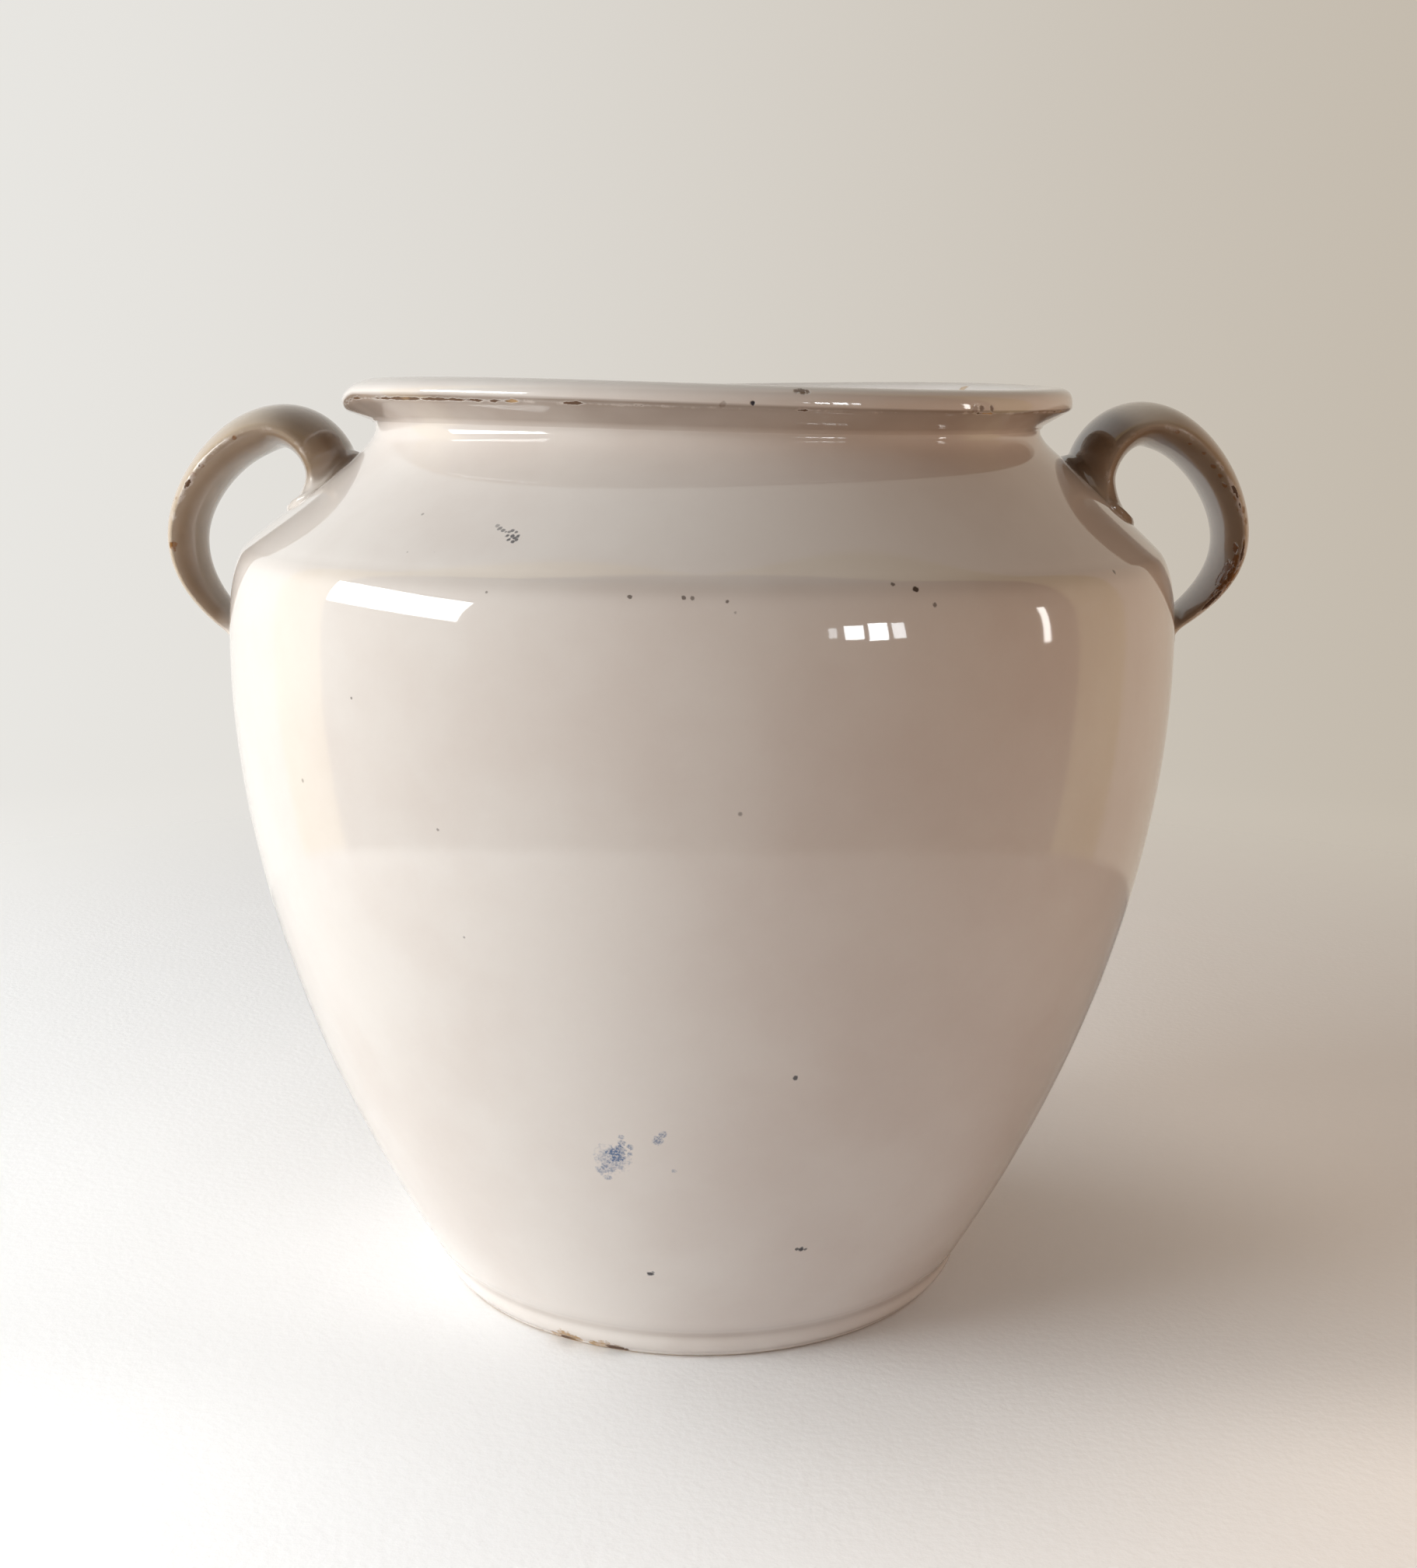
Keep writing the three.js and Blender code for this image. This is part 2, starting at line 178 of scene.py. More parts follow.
class StudioSettings(bpy.types.PropertyGroup):
    """Camera, lamps, floor and surroundings."""
    camera_place: bpy.props.FloatVectorProperty(
        name="Camera", description="Where the camera stands", default=(0.00956, -0.5478, 0.2538),
        subtype="XYZ", unit="LENGTH")
    pitch: degrees("Pitch", "How far the camera looks down", 11.337)
    heading: degrees("Heading", "How far it looks to the right", -0.773)
    roll: degrees("Roll", "How far it is tipped over", 0.5)
    lens: number("Lens", "Focal length", 43.28, subtype="DISTANCE_CAMERA")
    key_power: power("Key light", "Soft light from the left", 13)
    side_power: power("Side light", "Softer light from the left and behind", 4)
    floor_colour: colour("Floor", "Matt paper", (0.93, 0.93, 0.94))
    left_glow: colour("Left glow", "What the paper adds for the camera, to the left", (0.205, 0.205, 0.205))
    right_glow: colour("Right glow", "The same to the right of the pot", (0.23, 0.187, 0.15))
    bright_side: colour("Bright side", "Surroundings on the key light's side", (0.835, 0.825, 0.795))
    dim_side: colour("Dim side", "Surroundings on the other side", (0.53, 0.47, 0.39))
    front_left: colour("Front left", "What the glaze mirrors in front, to the left", (0.14, 0.13, 0.12))
    front_right: colour("Front right", "The same to the right", (0.06, 0.05, 0.04))
    left_screen: colour("Left screen", "Pale screen that the glaze mirrors, to the left", (0.95, 0.76, 0.45))
    right_screen: colour("Right screen", "The same to the right", (0.42, 0.36, 0.19))
    back_fill: colour("Light from behind", "Soft light off the surroundings", (0.80, 0.69, 0.56))
    warm_fill: colour("Light from the right", "Warm light off the dim side", (0.60, 0.35, 0.19))
    ground_fill: colour("Light from all round", "What is left in the shadows", (0.12, 0.07, 0.035))


# ---------------------------------------------------------------- outlines

def smoothstep(value, low, high):
    share = np.clip((np.asarray(value, dtype=float) - low) / (high - low), 0, 1)
    return share * share * (3 - 2 * share)


def bezier(points, steps):
    """A curve through two or three control points beyond its start, as an array of steps + 1 points."""
    points = [np.array(point, dtype=float) for point in points]
    share = np.linspace(0, 1, steps + 1)[:, None]
    degree = len(points) - 1
    return sum(
        math.comb(degree, i) * share ** i * (1 - share) ** (degree - i) * point
        for i, point in enumerate(points))


def joined(*curves):
    """Curves one after the other, without the points that repeat where they meet."""
    points = [curves[0][0]]
    for curve in curves:
        for point in curve:
            if np.hypot(*(point - points[-1])) > 1e-6:
                points.append(point)
    return np.array(points)


def heights_of(sizes):
    """Heights of the ridge, of the lip's underside and edge, and of the rim"""
    ridge = sizes.belly_height + sizes.ridge_rise
    neck = ridge + sizes.shoulder_rise
    lip = neck + sizes.lip_bevel
    return ridge, neck, lip, lip + sizes.lip_roll


def underside_outline(sizes):
    """From the middle of the recess to the outer side of the standing ring"""
    inner = sizes.foot_radius - sizes.foot_ring_width
    slope = (inner - sizes.recess_slope, sizes.recess_depth)
    flat = np.linspace((0, sizes.recess_depth), slope, 8)
    side = bezier([slope, (inner - 0.3 * sizes.recess_slope, sizes.recess_depth), (inner, 0)], 6)
    edge = sizes.foot_radius - sizes.foot_edge_round
    return joined(flat, side, np.linspace((inner, 0), (edge, 0), 6))


def belly_outline(sizes):
    """From the standing ring over the foot band and up to the widest place"""
    foot, edge = sizes.foot_radius, sizes.foot_edge_round
    band_top, band_bend = foot + sizes.foot_band_flare, 0.85 * sizes.foot_band_height
    start = np.array([band_top + sizes.foot_crease, sizes.foot_band_height + sizes.foot_crease])
    share = np.linspace(0, 1, BELLY_STEPS + 1)
    fullness = 1 - (1 - share) ** sizes.belly_fullness
    radius = start[0] + (sizes.belly_radius - start[0]) * fullness
    height = start[1] + (sizes.belly_height - start[1]) * share
    return joined(
        bezier([(foot - edge, 0), (foot, 0), (foot + edge / 2, edge)], 6),
        bezier([(foot + edge / 2, edge), (band_top, sizes.foot_band_height / 2), (band_top, band_bend)], 8),
        bezier([(band_top, band_bend), (band_top, start[1]), (radius[1], height[1])], 6),
        np.column_stack([radius, height])[1:],
    )


def shoulder_outline(sizes):
    """From the widest place over the ridge and along the cove to the neck"""
    ridge_height, neck_height, _, _ = heights_of(sizes)
    below = np.array([sizes.belly_radius - sizes.ridge_inset, ridge_height - sizes.ridge_round])
    lean = np.array([-sizes.ridge_lean, 1])
    ridge = below + lean * 1.5 * sizes.ridge_round
    bulge = below - lean * sizes.ridge_inset / sizes.ridge_lean
    neck = np.array([sizes.neck_radius, neck_height])
    slope = (neck - ridge) / np.hypot(*(neck - ridge))
    after = ridge + slope * 0.8 * sizes.ridge_round
    waist = np.array([sizes.waist_radius, neck_height - sizes.waist_drop])
    crease = waist + (neck - waist) * (1 - sizes.lip_edge / sizes.waist_drop)
    low = waist + (sizes.waist_slope * sizes.waist_turn, -sizes.waist_turn)
    lower = low + (sizes.waist_slope * sizes.cove_depth / 2, -sizes.cove_depth / 2)
    return joined(
        bezier([(sizes.belly_radius, sizes.belly_height), bulge, below], CURVE_STEPS),
        bezier([below, ridge, after], CURVE_STEPS),
        bezier([after, after + slope * sizes.cove_depth, lower, low], 2 * CURVE_STEPS),
        bezier([low, waist, (waist + crease) / 2, crease], CURVE_STEPS),
    )


LIP_EDGE_POINT = 6      # the point of a lip's section in the middle of its rounded edge


def lip_outline(sizes, angle):
    """The lip's section at an angle: it stands upright on the right and droops on the left"""
    _, neck_height, lip_height, rim_height = heights_of(sizes)
    upright = (1 + math.cos(angle)) / 2
    sag = sizes.lip_sag * float(smoothstep(-math.cos(angle), 0.9, 1))
    neck = np.array([sizes.neck_radius, neck_height - 0.25 * sag])
    edge = np.array([sizes.neck_radius + sizes.lip_overhang, lip_height - sag])
    under = (edge - neck) / np.hypot(*(edge - neck))
    soft, nose = sizes.lip_edge, sizes.lip_edge * (1 + sizes.lip_bluntness * (1 - upright))
    rim_radius = sizes.neck_radius + (3 * upright - 0.8) * MM
    squareness = 2 / (1.75 + 1.25 * upright)
    turn = np.linspace(0, math.pi / 2, CURVE_STEPS + 1)
    side = edge + (0, nose)
    roll = np.column_stack([
        rim_radius + (side[0] - rim_radius) * np.abs(np.cos(turn)) ** squareness,
        side[1] + (rim_height - side[1]) * np.sin(turn) ** squareness,
    ])
    mouth_radius = sizes.neck_radius - sizes.wall
    inner = np.column_stack([
        rim_radius - (rim_radius - mouth_radius) * np.sin(turn),
        rim_height - sizes.lip_inner_drop * (1 - np.cos(turn)),
    ])
    return np.concatenate([
        bezier([neck - (0, soft), neck, neck + 1.5 * soft * under], 4)[1:],
        bezier([edge - nose * under, edge, side], 4),
        roll[1:],
        inner[1:],
    ])


def beside(outline, radius, height):
    """Distance from the outline, below zero inside the pot. The outline is followed upwards."""
    point = np.stack([np.ravel(radius), np.ravel(height)], axis=1)
    start, side = outline[:-1], np.diff(outline, axis=0)
    square = (side ** 2).sum(axis=1)
    best = np.full(len(point), np.inf)
    reach = np.full(len(point), -np.inf)
    for corner, edge, size in zip(start, side, square):
        share = np.clip(((point - corner) @ edge) / size, 0, 1)
        best = np.minimum(best, np.hypot(*(point - corner - share[:, None] * edge).T))
        if edge[1] > 0:
            level = (point[:, 1] - corner[1]) / edge[1]
            hit = (level >= 0) & (level <= 1)
            reach[hit] = np.maximum(reach[hit], corner[0] + level[hit] * edge[0])
    signed = np.where(point[:, 0] < reach, -best, best)
    return signed.reshape(np.shape(radius))


def inside_outline(sizes):
    """The inner wall, from the neck down to the middle of the floor"""
    outer = joined(belly_outline(sizes), shoulder_outline(sizes))
    along = np.gradient(outer, axis=0)
    along /= np.hypot(*along.T)[:, None]
    inset = outer - sizes.wall * np.column_stack([along[:, 1], -along[:, 0]])
    floor_height = sizes.recess_depth + sizes.floor
    clear = np.abs(beside(outer, inset[:, 0], inset[:, 1])) > 0.985 * sizes.wall
    wall = inset[clear & (inset[:, 1] > floor_height + sizes.floor_corner)]
    foot, corner = wall[0], sizes.floor_corner
    flat = foot[0] - 1.5 * corner
    return joined(
        wall[::-1],
        bezier([foot, (foot[0] - corner / 2, floor_height), (flat, floor_height)], CURVE_STEPS),
        np.linspace((flat, floor_height), (0, floor_height), 10),
    )


def lean_at(sizes, height):
    """Sideways place of the neck and lip, which the potter's hand set off centre"""
    ridge_height, neck_height, _, _ = heights_of(sizes)
    rise = smoothstep(height, ridge_height, ridge_height + 0.7 * sizes.shoulder_rise)
    back = smoothstep(height, neck_height - 10 * MM, neck_height + 2 * MM)
    return sizes.neck_lean * rise * (1 - 0.6 * back)


# ---------------------------------------------------------------- marks of use

# Worn places: angle round the pot in degrees, with the right handle at 0, half width in degrees, and strength
LIP_CHIPS = [
    (218, 5, 0.9), (224, 5, 1.0), (231, 5, 0.95), (237, 3, 0.85), (241, 1.2, 1.0), (243.5, 1.2, 0.9),
    (253, 1.5, 0.9), (262, 5, 0.45), (205, 8, 0.6), (284, 1.2, 0.75), (313, 2.5, 0.75), (335, 6, 0.45),
    (25, 4, 0.45), (62, 2, 0.8), (118, 6, 0.5), (150, 3, 0.6),
]
FOOT_CHIPS = [
    (243, 3.2, 1.1), (254, 4, 1.1), (236, 1, 0.6), (300, 4, 0.3), (20, 3, 0.8), (96, 4, 0.9), (160, 3, 0.7),
]
# Chips along a strap's side edges: share of the route, half length, strength, and on which edge they are:
# True is the front one on the right strap, and the back one on the left
STRAP_CHIPS = {
    1: [(0.47, 0.015, 0.6, True), (0.55, 0.05, 0.6, True), (0.68, 0.05, 0.6, True), (0.8, 0.04, 0.9, True),
        (0.4, 0.1, 0.2, False), (0.7, 0.1, 0.4, False)],
    -1: [(0.45, 0.015, 0.6, True), (0.57, 0.03, 0.6, True), (0.7, 0.04, 0.4, True), (0.5, 0.1, 0.4, False)],
}
# Wear, thin glaze and painted shade on the body: strength, height above the edge or crease that it follows,
# and reach
LIP_WEAR, LIP_WEAR_REACH = 0.48, 0.62 * MM
LIP_LINE, LIP_LINE_REACH = 0.6, 0.55 * MM
# Painted shade under the lip's crease and sloping underside: strength, its step from row to row, and the rows
# that it covers
UNDER_LIP_SHADE, UNDER_LIP_SHADE_STEP, UNDER_LIP_SHADE_ROWS = 0.25, 0.06, 7
FOOT_WEAR, FOOT_WEAR_RISE, FOOT_WEAR_REACH = 0.2, 1.2 * MM, 2.4 * MM
RIDGE_LINE, RIDGE_LINE_RISE, RIDGE_LINE_REACH = 0.16, 1.5 * MM, 2.2 * MM
CREASE_LINE, CREASE_LINE_RISE, CREASE_LINE_REACH = 0.3, 0.8 * MM, 1.1 * MM
# The shoulder and neck above the ridge are made a little darker and browner
SHOULDER_TINT, SHOULDER_FADE = 0.065, 8 * MM
# Wear, stain and painted shade on the straps
STRAP_WEAR = 0.42
EDGE_STAIN = 0.25
# Painted shade on the straps' inner faces inside the loops, stronger towards the side edges
INNER_FACE_SHADE, INNER_EDGE_SHADE = 0.5, 0.45
NECK_SHADE = (0.17, 0.32)            # shares of the route where the painted shade beside the neck fades
ROOT_FADE = (0.5 * MM, 6 * MM)      # distances from the pot where a root's white glaze fades
ROOT_GLAZE = {-1: 1.0, 1: 0.1}      # how far each strap's roots are glazed white like the body
# Unevenness of the wall: waves to the metre, seed, and the turning rings' share of it
HOLLOW_GRAIN, HOLLOW_SEED, RING_GRAIN, RING_SHARE = 16, 4.1, 95, 0.25


def chip_strength(chips, angle):
    """How strongly the edge is worn at an angle in degrees"""
    total = np.zeros_like(angle)
    for centre, half_width, strength in chips:
        off = (angle - centre + 180) % 360 - 180
        total = np.maximum(total, strength * np.exp(-(off / half_width) ** 2))
    return total


def nearness(distance, reach):
    """1 at a place, and next to nothing at twice the reach"""
    return math.exp(-(distance / reach) ** 2)


def value_at(place, scale, seed):
    """Smooth noise from -1 to 1 at a place in metres, with features about 1 / scale apart"""
    return noise.noise(Vector(place) * scale + Vector((seed, 2.3 * seed, -1.7 * seed)))


# ---------------------------------------------------------------- meshes

def mesh_piece(name, points, faces, values, material, slot, *nodes):
    """Makes a smooth piece, stores its values on its points and lets it stand for the CAD nodes."""
    mesh = bpy.data.meshes.new(name)
    mesh.from_pydata([tuple(point) for point in points], [], faces)
    for label, numbers in values.items():
        layer = mesh.attributes.new(label, "FLOAT", "POINT")
        layer.data.foreach_set("value", np.asarray(numbers, dtype=np.float32))
    mesh.shade_smooth()
    mesh.materials.append(material)
    piece = bpy.data.objects.new(name, mesh)
    bpy.context.scene.collection.objects.link(piece)
    bpy.context.view_layer.update()
    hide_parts(*nodes)
    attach(piece, "root")
    return piece


def body_mesh(sizes):
    """Points, faces and wear of the body: one ring of points for each point of the outline"""
    outside = joined(underside_outline(sizes), belly_outline(sizes), shoulder_outline(sizes))
    inside = inside_outline(sizes)
    ridge_height, _, lip_height, _ = heights_of(sizes)
    turns = np.arange(AROUND) * 2 * math.pi / AROUND
    lips = [lip_outline(sizes, angle) for angle in turns]
    below, lip_rows = len(outside), len(lips[0])
    rows = below + lip_rows + len(inside)
    points, wear, bare, thin = [], [], [], []
    lip_wear = LIP_WEAR + chip_strength(LIP_CHIPS, np.degrees(turns))
    foot_wear = FOOT_WEAR + chip_strength(FOOT_CHIPS, np.degrees(turns))
    for row in range(1, rows - 1):
        for step, angle in enumerate(turns):
            if row < below:
                radius, height = outside[row]
            elif row < below + lip_rows:
                radius, height = lips[step][row - below]
            else:
                radius, height = inside[row - below - lip_rows]
            spot = (radius * math.cos(angle), radius * math.sin(angle), height)
            if radius > sizes.foot_radius and height > sizes.foot_band_height and row < below:
                hollow = 0.5 + 0.5 * value_at(spot, HOLLOW_GRAIN, HOLLOW_SEED)
                ring_place = Vector((math.cos(angle), math.sin(angle), height * RING_GRAIN))
                ring = 0.5 + 0.5 * noise.noise(ring_place)
                radius -= sizes.unevenness * (hollow + RING_SHARE * ring)
            edge = lips[step][LIP_EDGE_POINT]
            from_edge = math.hypot(radius - edge[0], height - edge[1])
            from_foot = math.hypot(radius - sizes.foot_radius, height - FOOT_WEAR_RISE)
            on_lip = nearness(from_edge, LIP_WEAR_REACH) * lip_wear[step]
            wear.append(on_lip + nearness(from_foot, FOOT_WEAR_REACH) * foot_wear[step])
            standing = height < 0.4 * MM and radius > sizes.foot_radius - sizes.foot_ring_width - 1 * MM
            bare.append(1.0 if standing else 0.0)
            shades = [LIP_LINE * nearness(from_edge, LIP_LINE_REACH)]
            # Painted shade under the lip, darker row by row towards the lip's edge, stored with the thin
            # glaze
            if below - 1 <= row <= below + UNDER_LIP_SHADE_ROWS:
                shades.append(UNDER_LIP_SHADE + UNDER_LIP_SHADE_STEP * (row - below))
            if row < below:
                above = height - ridge_height
                shades.append(RIDGE_LINE * nearness(above - RIDGE_LINE_RISE, RIDGE_LINE_REACH))
                # Darker and browner from the ridge up
                shades.append(SHOULDER_TINT * float(smoothstep(above, 0, SHOULDER_FADE)))
            if row < below + lip_rows:
                above = height - sizes.foot_band_height
                shades.append(CREASE_LINE * nearness(above - CREASE_LINE_RISE, CREASE_LINE_REACH))
            # thin holds thin glaze, the lines of wear and the painted shade under the lip
            thin.append(max(shades))
            share = float(smoothstep(height, lip_height - sizes.warp_reach, lip_height))
            warp = sizes.rim_sway * math.sin(2 * angle) + sizes.rim_tilt * math.sin(angle)
            across = radius * math.cos(angle) + float(lean_at(sizes, height))
            points.append((across, radius * math.sin(angle), height + share * warp))
    bottom, top = len(points), len(points) + 1
    points += [(0, 0, outside[0][1]), (0, 0, inside[-1][1])]
    for values in (wear, bare, thin):
        values += [0, 0]
    faces = []
    for step in range(AROUND):
        after = (step + 1) % AROUND
        faces.append((bottom, after, step))
        for row in range(rows - 3):
            low, high = row * AROUND, (row + 1) * AROUND
            faces.append((low + step, low + after, high + after, high + step))
        last = (rows - 3) * AROUND
        faces.append((last + step, last + after, top))
    return points, faces, {"wear": wear, "bare": bare, "thin": thin}


# Sections along a strap: share of the route, then width, outer crown and inner crown in millimetres
STRAP_SECTIONS = np.array([
    (0, 50, 7.7, 4),
    (0.34, 48, 6.3, 6.3),
    (0.62, 37, 4.2, 3.4),
    (1, 20, 1.6, 1.4),
])
CROWN_POWER = 1.2       # how a face rises from its side edges, where 1 is an ellipse
EDGE_POWER = 24         # how narrow the side edges are that wear
# Hollow fillets at the roots, for the hole's side, the edges and the back: radius in millimetres, and angle
# between strap and pot in degrees
UPPER_FILLETS = ((17, 130), (4, 90), (2.5, 50))
LOWER_FILLETS = ((2.5, 50), (4, 90), (9, 130))
CURL = 0.55             # roundness of the turn from the limb to the crest
TAIL_SLANT = 12 * MM    # the tail comes in from this far above its place on the belly
ROOT_DEPTH = 12 * MM    # how far the route runs on into the wall
SUNK_DEPTH = 1.5 * MM   # how far a root reaches into the pot


def even_out(line, rounds):
    """Smooths a line of numbers or points in place and keeps its ends"""
    for _ in range(rounds):
        line[1:-1] = (line[:-2] + 2 * line[1:-1] + line[2:]) / 4


def strap_route(sizes, body, outline):
    """Points on the route that the strap's side edges follow, (across, height), evenly spaced"""
    ridge_height, _, _, _ = heights_of(body)
    ridge_radius = body.belly_radius - body.ridge_inset
    limb, limb_top = ridge_radius - sizes.limb_inset, ridge_height + sizes.limb_rise
    above = outline[outline[:, 1] > body.belly_height]
    limb_foot = np.interp(-limb, -above[:, 0], above[:, 1])
    crest = np.array([limb + sizes.crest_out, ridge_height + sizes.crest_rise])
    bow = np.array([ridge_radius + sizes.bow_reach, ridge_height + sizes.bow_rise])
    tail_height = ridge_height - sizes.tail_drop
    tail = np.array([np.interp(tail_height, outline[:, 1], outline[:, 0]), tail_height])
    turn = np.array([bow[0], tail_height + TAIL_SLANT])
    inward = tail + (tail - turn) / np.hypot(*(tail - turn)) * ROOT_DEPTH
    route = joined(
        np.linspace((limb, limb_foot - ROOT_DEPTH), (limb, limb_top), ROUTE_STEPS),
        bezier([(limb, limb_top), (limb, limb_top + CURL * (crest[1] - limb_top)),
                (crest[0] - CURL * sizes.crest_out, crest[1]), crest], ROUTE_STEPS),
        bezier([crest, (crest[0] + sizes.roundness * (bow[0] - crest[0]), crest[1]),
                (bow[0], bow[1] + sizes.roundness * (crest[1] - bow[1])), bow], ROUTE_STEPS),
        bezier([bow, turn, tail], ROUTE_STEPS),
        np.linspace(tail, inward, ROUTE_STEPS),
    )
    run = np.concatenate([[0], np.cumsum(np.hypot(*np.diff(route, axis=0).T))])
    even = np.linspace(0, run[-1], 4 * ROUTE_STEPS + 1)
    route = np.column_stack([np.interp(even, run, route[:, i]) for i in (0, 1)])
    even_out(route, ROUTE_ROUNDS)
    return route


def fillet_swell(fillets, direction, depth):
    """How far a root flares at a distance from the pot: a hollow fillet between strap and surface"""
    hole, edge, back = (np.array(fillet, dtype=float) for fillet in fillets)
    weight = np.sin(direction) ** 2
    side = np.where(np.sin(direction)[..., None] > 0, back, hole)
    mixed = edge + (side - edge) * weight[..., None]
    radius, angle = mixed[..., 0] * MM, np.radians(mixed[..., 1])
    up_strap = depth / np.sin(angle)
    touch = np.where(angle > math.pi / 2, radius * np.sin(angle), radius)
    within = np.clip(radius / np.tan(angle / 2) - up_strap, 0, touch)
    return radius - np.sqrt(radius ** 2 - within ** 2)


def strap_mesh(sizes, body, side):
    """Points, faces and wear of a strap with its flared roots. side is 1 on the right and -1 on the left."""
    outline = joined(belly_outline(body), shoulder_outline(body))
    route = strap_route(sizes, body, outline)
    share = np.linspace(0, 1, len(route))
    ahead = np.gradient(route, axis=0)
    ahead /= np.hypot(*ahead.T)[:, None]
    stations, widths = STRAP_SECTIONS[:, 0], STRAP_SECTIONS[:, 1:] * MM
    width, outer, inner = (np.interp(share, stations, widths[:, i]) for i in range(3))
    for line in (width, outer, inner):
        even_out(line, SECTION_ROUNDS)
    turn = np.arange(STRAP_AROUND) * 2 * math.pi / STRAP_AROUND
    across = np.cos(turn)[None, :] * width[:, None] / 2
    bend = np.sign(np.sin(turn)) * np.abs(np.sin(turn)) ** CROWN_POWER
    out = np.where(bend > 0, bend * outer[:, None], bend * inner[:, None])
    direction = np.broadcast_to(turn, out.shape)

    def placed(across, out):
        x = route[:, 0, None] - ahead[:, 1, None] * out
        z = route[:, 1, None] + ahead[:, 0, None] * out
        return x, -across, z

    def depth_of(x, y, z):
        lean = lean_at(body, z)
        return beside(outline, np.hypot(x - side * lean, y), z)

    depth = depth_of(*placed(across, out))
    half = len(route) // 2
    swell = np.concatenate([
        fillet_swell(UPPER_FILLETS, direction[:half], depth[:half]),
        fillet_swell(LOWER_FILLETS, direction[half:], depth[half:]),
    ])
    x, y, z = placed(across + swell * np.cos(direction), out + swell * np.sin(direction))
    clear = depth_of(x, y, z)
    sunk = clear < -SUNK_DEPTH
    columns, shares, rooted = [], [], []
    index = np.arange(len(route))
    for column in range(STRAP_AROUND):
        first = np.nonzero(sunk[:half, column])[0].max(initial=0)
        last = half + np.nonzero(sunk[half:, column])[0].min(initial=len(route) - half - 1)
        at = np.linspace(first, last, STRAP_ALONG + 1)
        columns.append(np.column_stack([np.interp(at, index, line[:, column]) for line in (x, y, z)]))
        shares.append(at / (len(route) - 1))
        rooted.append(1 - smoothstep(np.interp(at, index, clear[:, column]), *ROOT_FADE))
    points = np.array(columns).transpose(1, 0, 2).reshape(-1, 3) * (side, side, 1)
    shares, rooted = np.array(shares).T, np.array(rooted).T
    faces = []
    for row in range(STRAP_ALONG):
        for column in range(STRAP_AROUND):
            after = (column + 1) % STRAP_AROUND
            low, high = row * STRAP_AROUND, (row + 1) * STRAP_AROUND
            faces.append((low + column, high + column, high + after, low + after))
    faces.append(tuple(range(STRAP_AROUND)))
    faces.append(tuple(reversed(range(STRAP_ALONG * STRAP_AROUND, (STRAP_ALONG + 1) * STRAP_AROUND))))
    to_edge = np.abs(np.cos(turn))[None, :]
    on_edge = to_edge ** EDGE_POWER
    first_edge = (np.cos(turn) > 0)[None, :]
    wear = np.zeros(shares.shape)
    for centre, half_width, strength, on_first in STRAP_CHIPS[side]:
        bite = strength * np.exp(-((shares - centre) / half_width) ** 2)
        wear = np.maximum(wear, bite * (first_edge if on_first else ~first_edge))
    wear = (STRAP_WEAR + wear) * on_edge
    outer_face, inner_face = (np.clip(way * np.sin(turn), 0, 1)[None, :] for way in (1, -1))
    # Painted shade on the face of the limb that looks at the neck, hidden from the key light
    shade_beside_neck = outer_face * (1 - smoothstep(shares, *NECK_SHADE))
    # Painted shade on the inner face; the stain along the side edges is worn glaze
    inner_face_shade = (INNER_FACE_SHADE + INNER_EDGE_SHADE * to_edge ** 2) * np.sqrt(inner_face)
    root = rooted * (1 - outer_face) * ROOT_GLAZE[side]
    # thin holds the worn stain along the edges and the painted shade on the faces
    thin = np.maximum(shade_beside_neck, EDGE_STAIN * on_edge + inner_face_shade) * (1 - 0.7 * root)
    return points, faces, {"wear": wear.ravel(), "root": root.ravel(), "thin": thin.ravel()}


# ---------------------------------------------------------------- nodes

# Grain of the patterns: waves to the metre
CLOUD_GRAIN, MOTTLE_GRAIN, RIPPLE_GRAIN = 22, 420, 140
CHIP_GRAIN, AGE_GRAIN = 260, 90
MARK_GRAIN, COBALT_GRAIN, STAIN_GRAIN = 900, 1500, 500
PAPER_GRAIN, FIBRE_GRAIN = 900, 380
SPECK_SPACING, SPECK_SHARE, SPECK_SIZE = 11 * MM, 0.22, 0.7 * MM
BUMP_DEPTH = 0.6 * MM
BODY_GLOSS, STRAP_GLOSS = 1.75, 1.5     # refraction of the thick and of the thin glaze
GLAZE_ROUGHNESS = (0.03, 0.06)
CLAY_ROUGHNESS, PAPER_ROUGHNESS = 0.75, 0.9


def ink(shade):
    """A colour with the fourth number that a colour socket takes"""
    return (*shade, 1)


def put(tree, kind, settings=None, sockets=None):
    """Adds a node. A socket gets a link where its value is a socket too, and else a number or colour."""
    node = tree.nodes.new("ShaderNode" + kind)
    for name, value in (settings or {}).items():
        setattr(node, name, value)
    for name, value in (sockets or {}).items():
        if isinstance(value, bpy.types.NodeSocket):
            tree.links.new(value, node.inputs[name])
        else:
            node.inputs[name].default_value = value
    return node


def calc(tree, operation, first, second=0.0, third=0.0):
    return put(tree, "Math", {"operation": operation}, {0: first, 1: second, 2: third}).outputs[0]


def blended(tree, share, first, second):
    sockets = {0: share, 6: first, 7: second}
    return put(tree, "Mix", {"data_type": "RGBA"}, sockets).outputs[2]


def stepped(tree, value, low, high, start=0.0, end=1.0):
    """Smooth step from start at low to end at high"""
    settings = {"interpolation_type": "SMOOTHSTEP"}
    return put(tree, "MapRange", settings, {0: value, 1: low, 2: high, 3: start, 4: end}).outputs[0]


def noisy(tree, place, scale, detail=2.0, roughness=0.5):
    sockets = {"Vector": place, "Scale": scale, "Detail": detail, "Roughness": roughness}
    return put(tree, "TexNoise", None, sockets).outputs["Fac"]


SOCKETS = {"value": "NodeSocketFloat", "vector": "NodeSocketVector", "colour": "NodeSocketColor"}


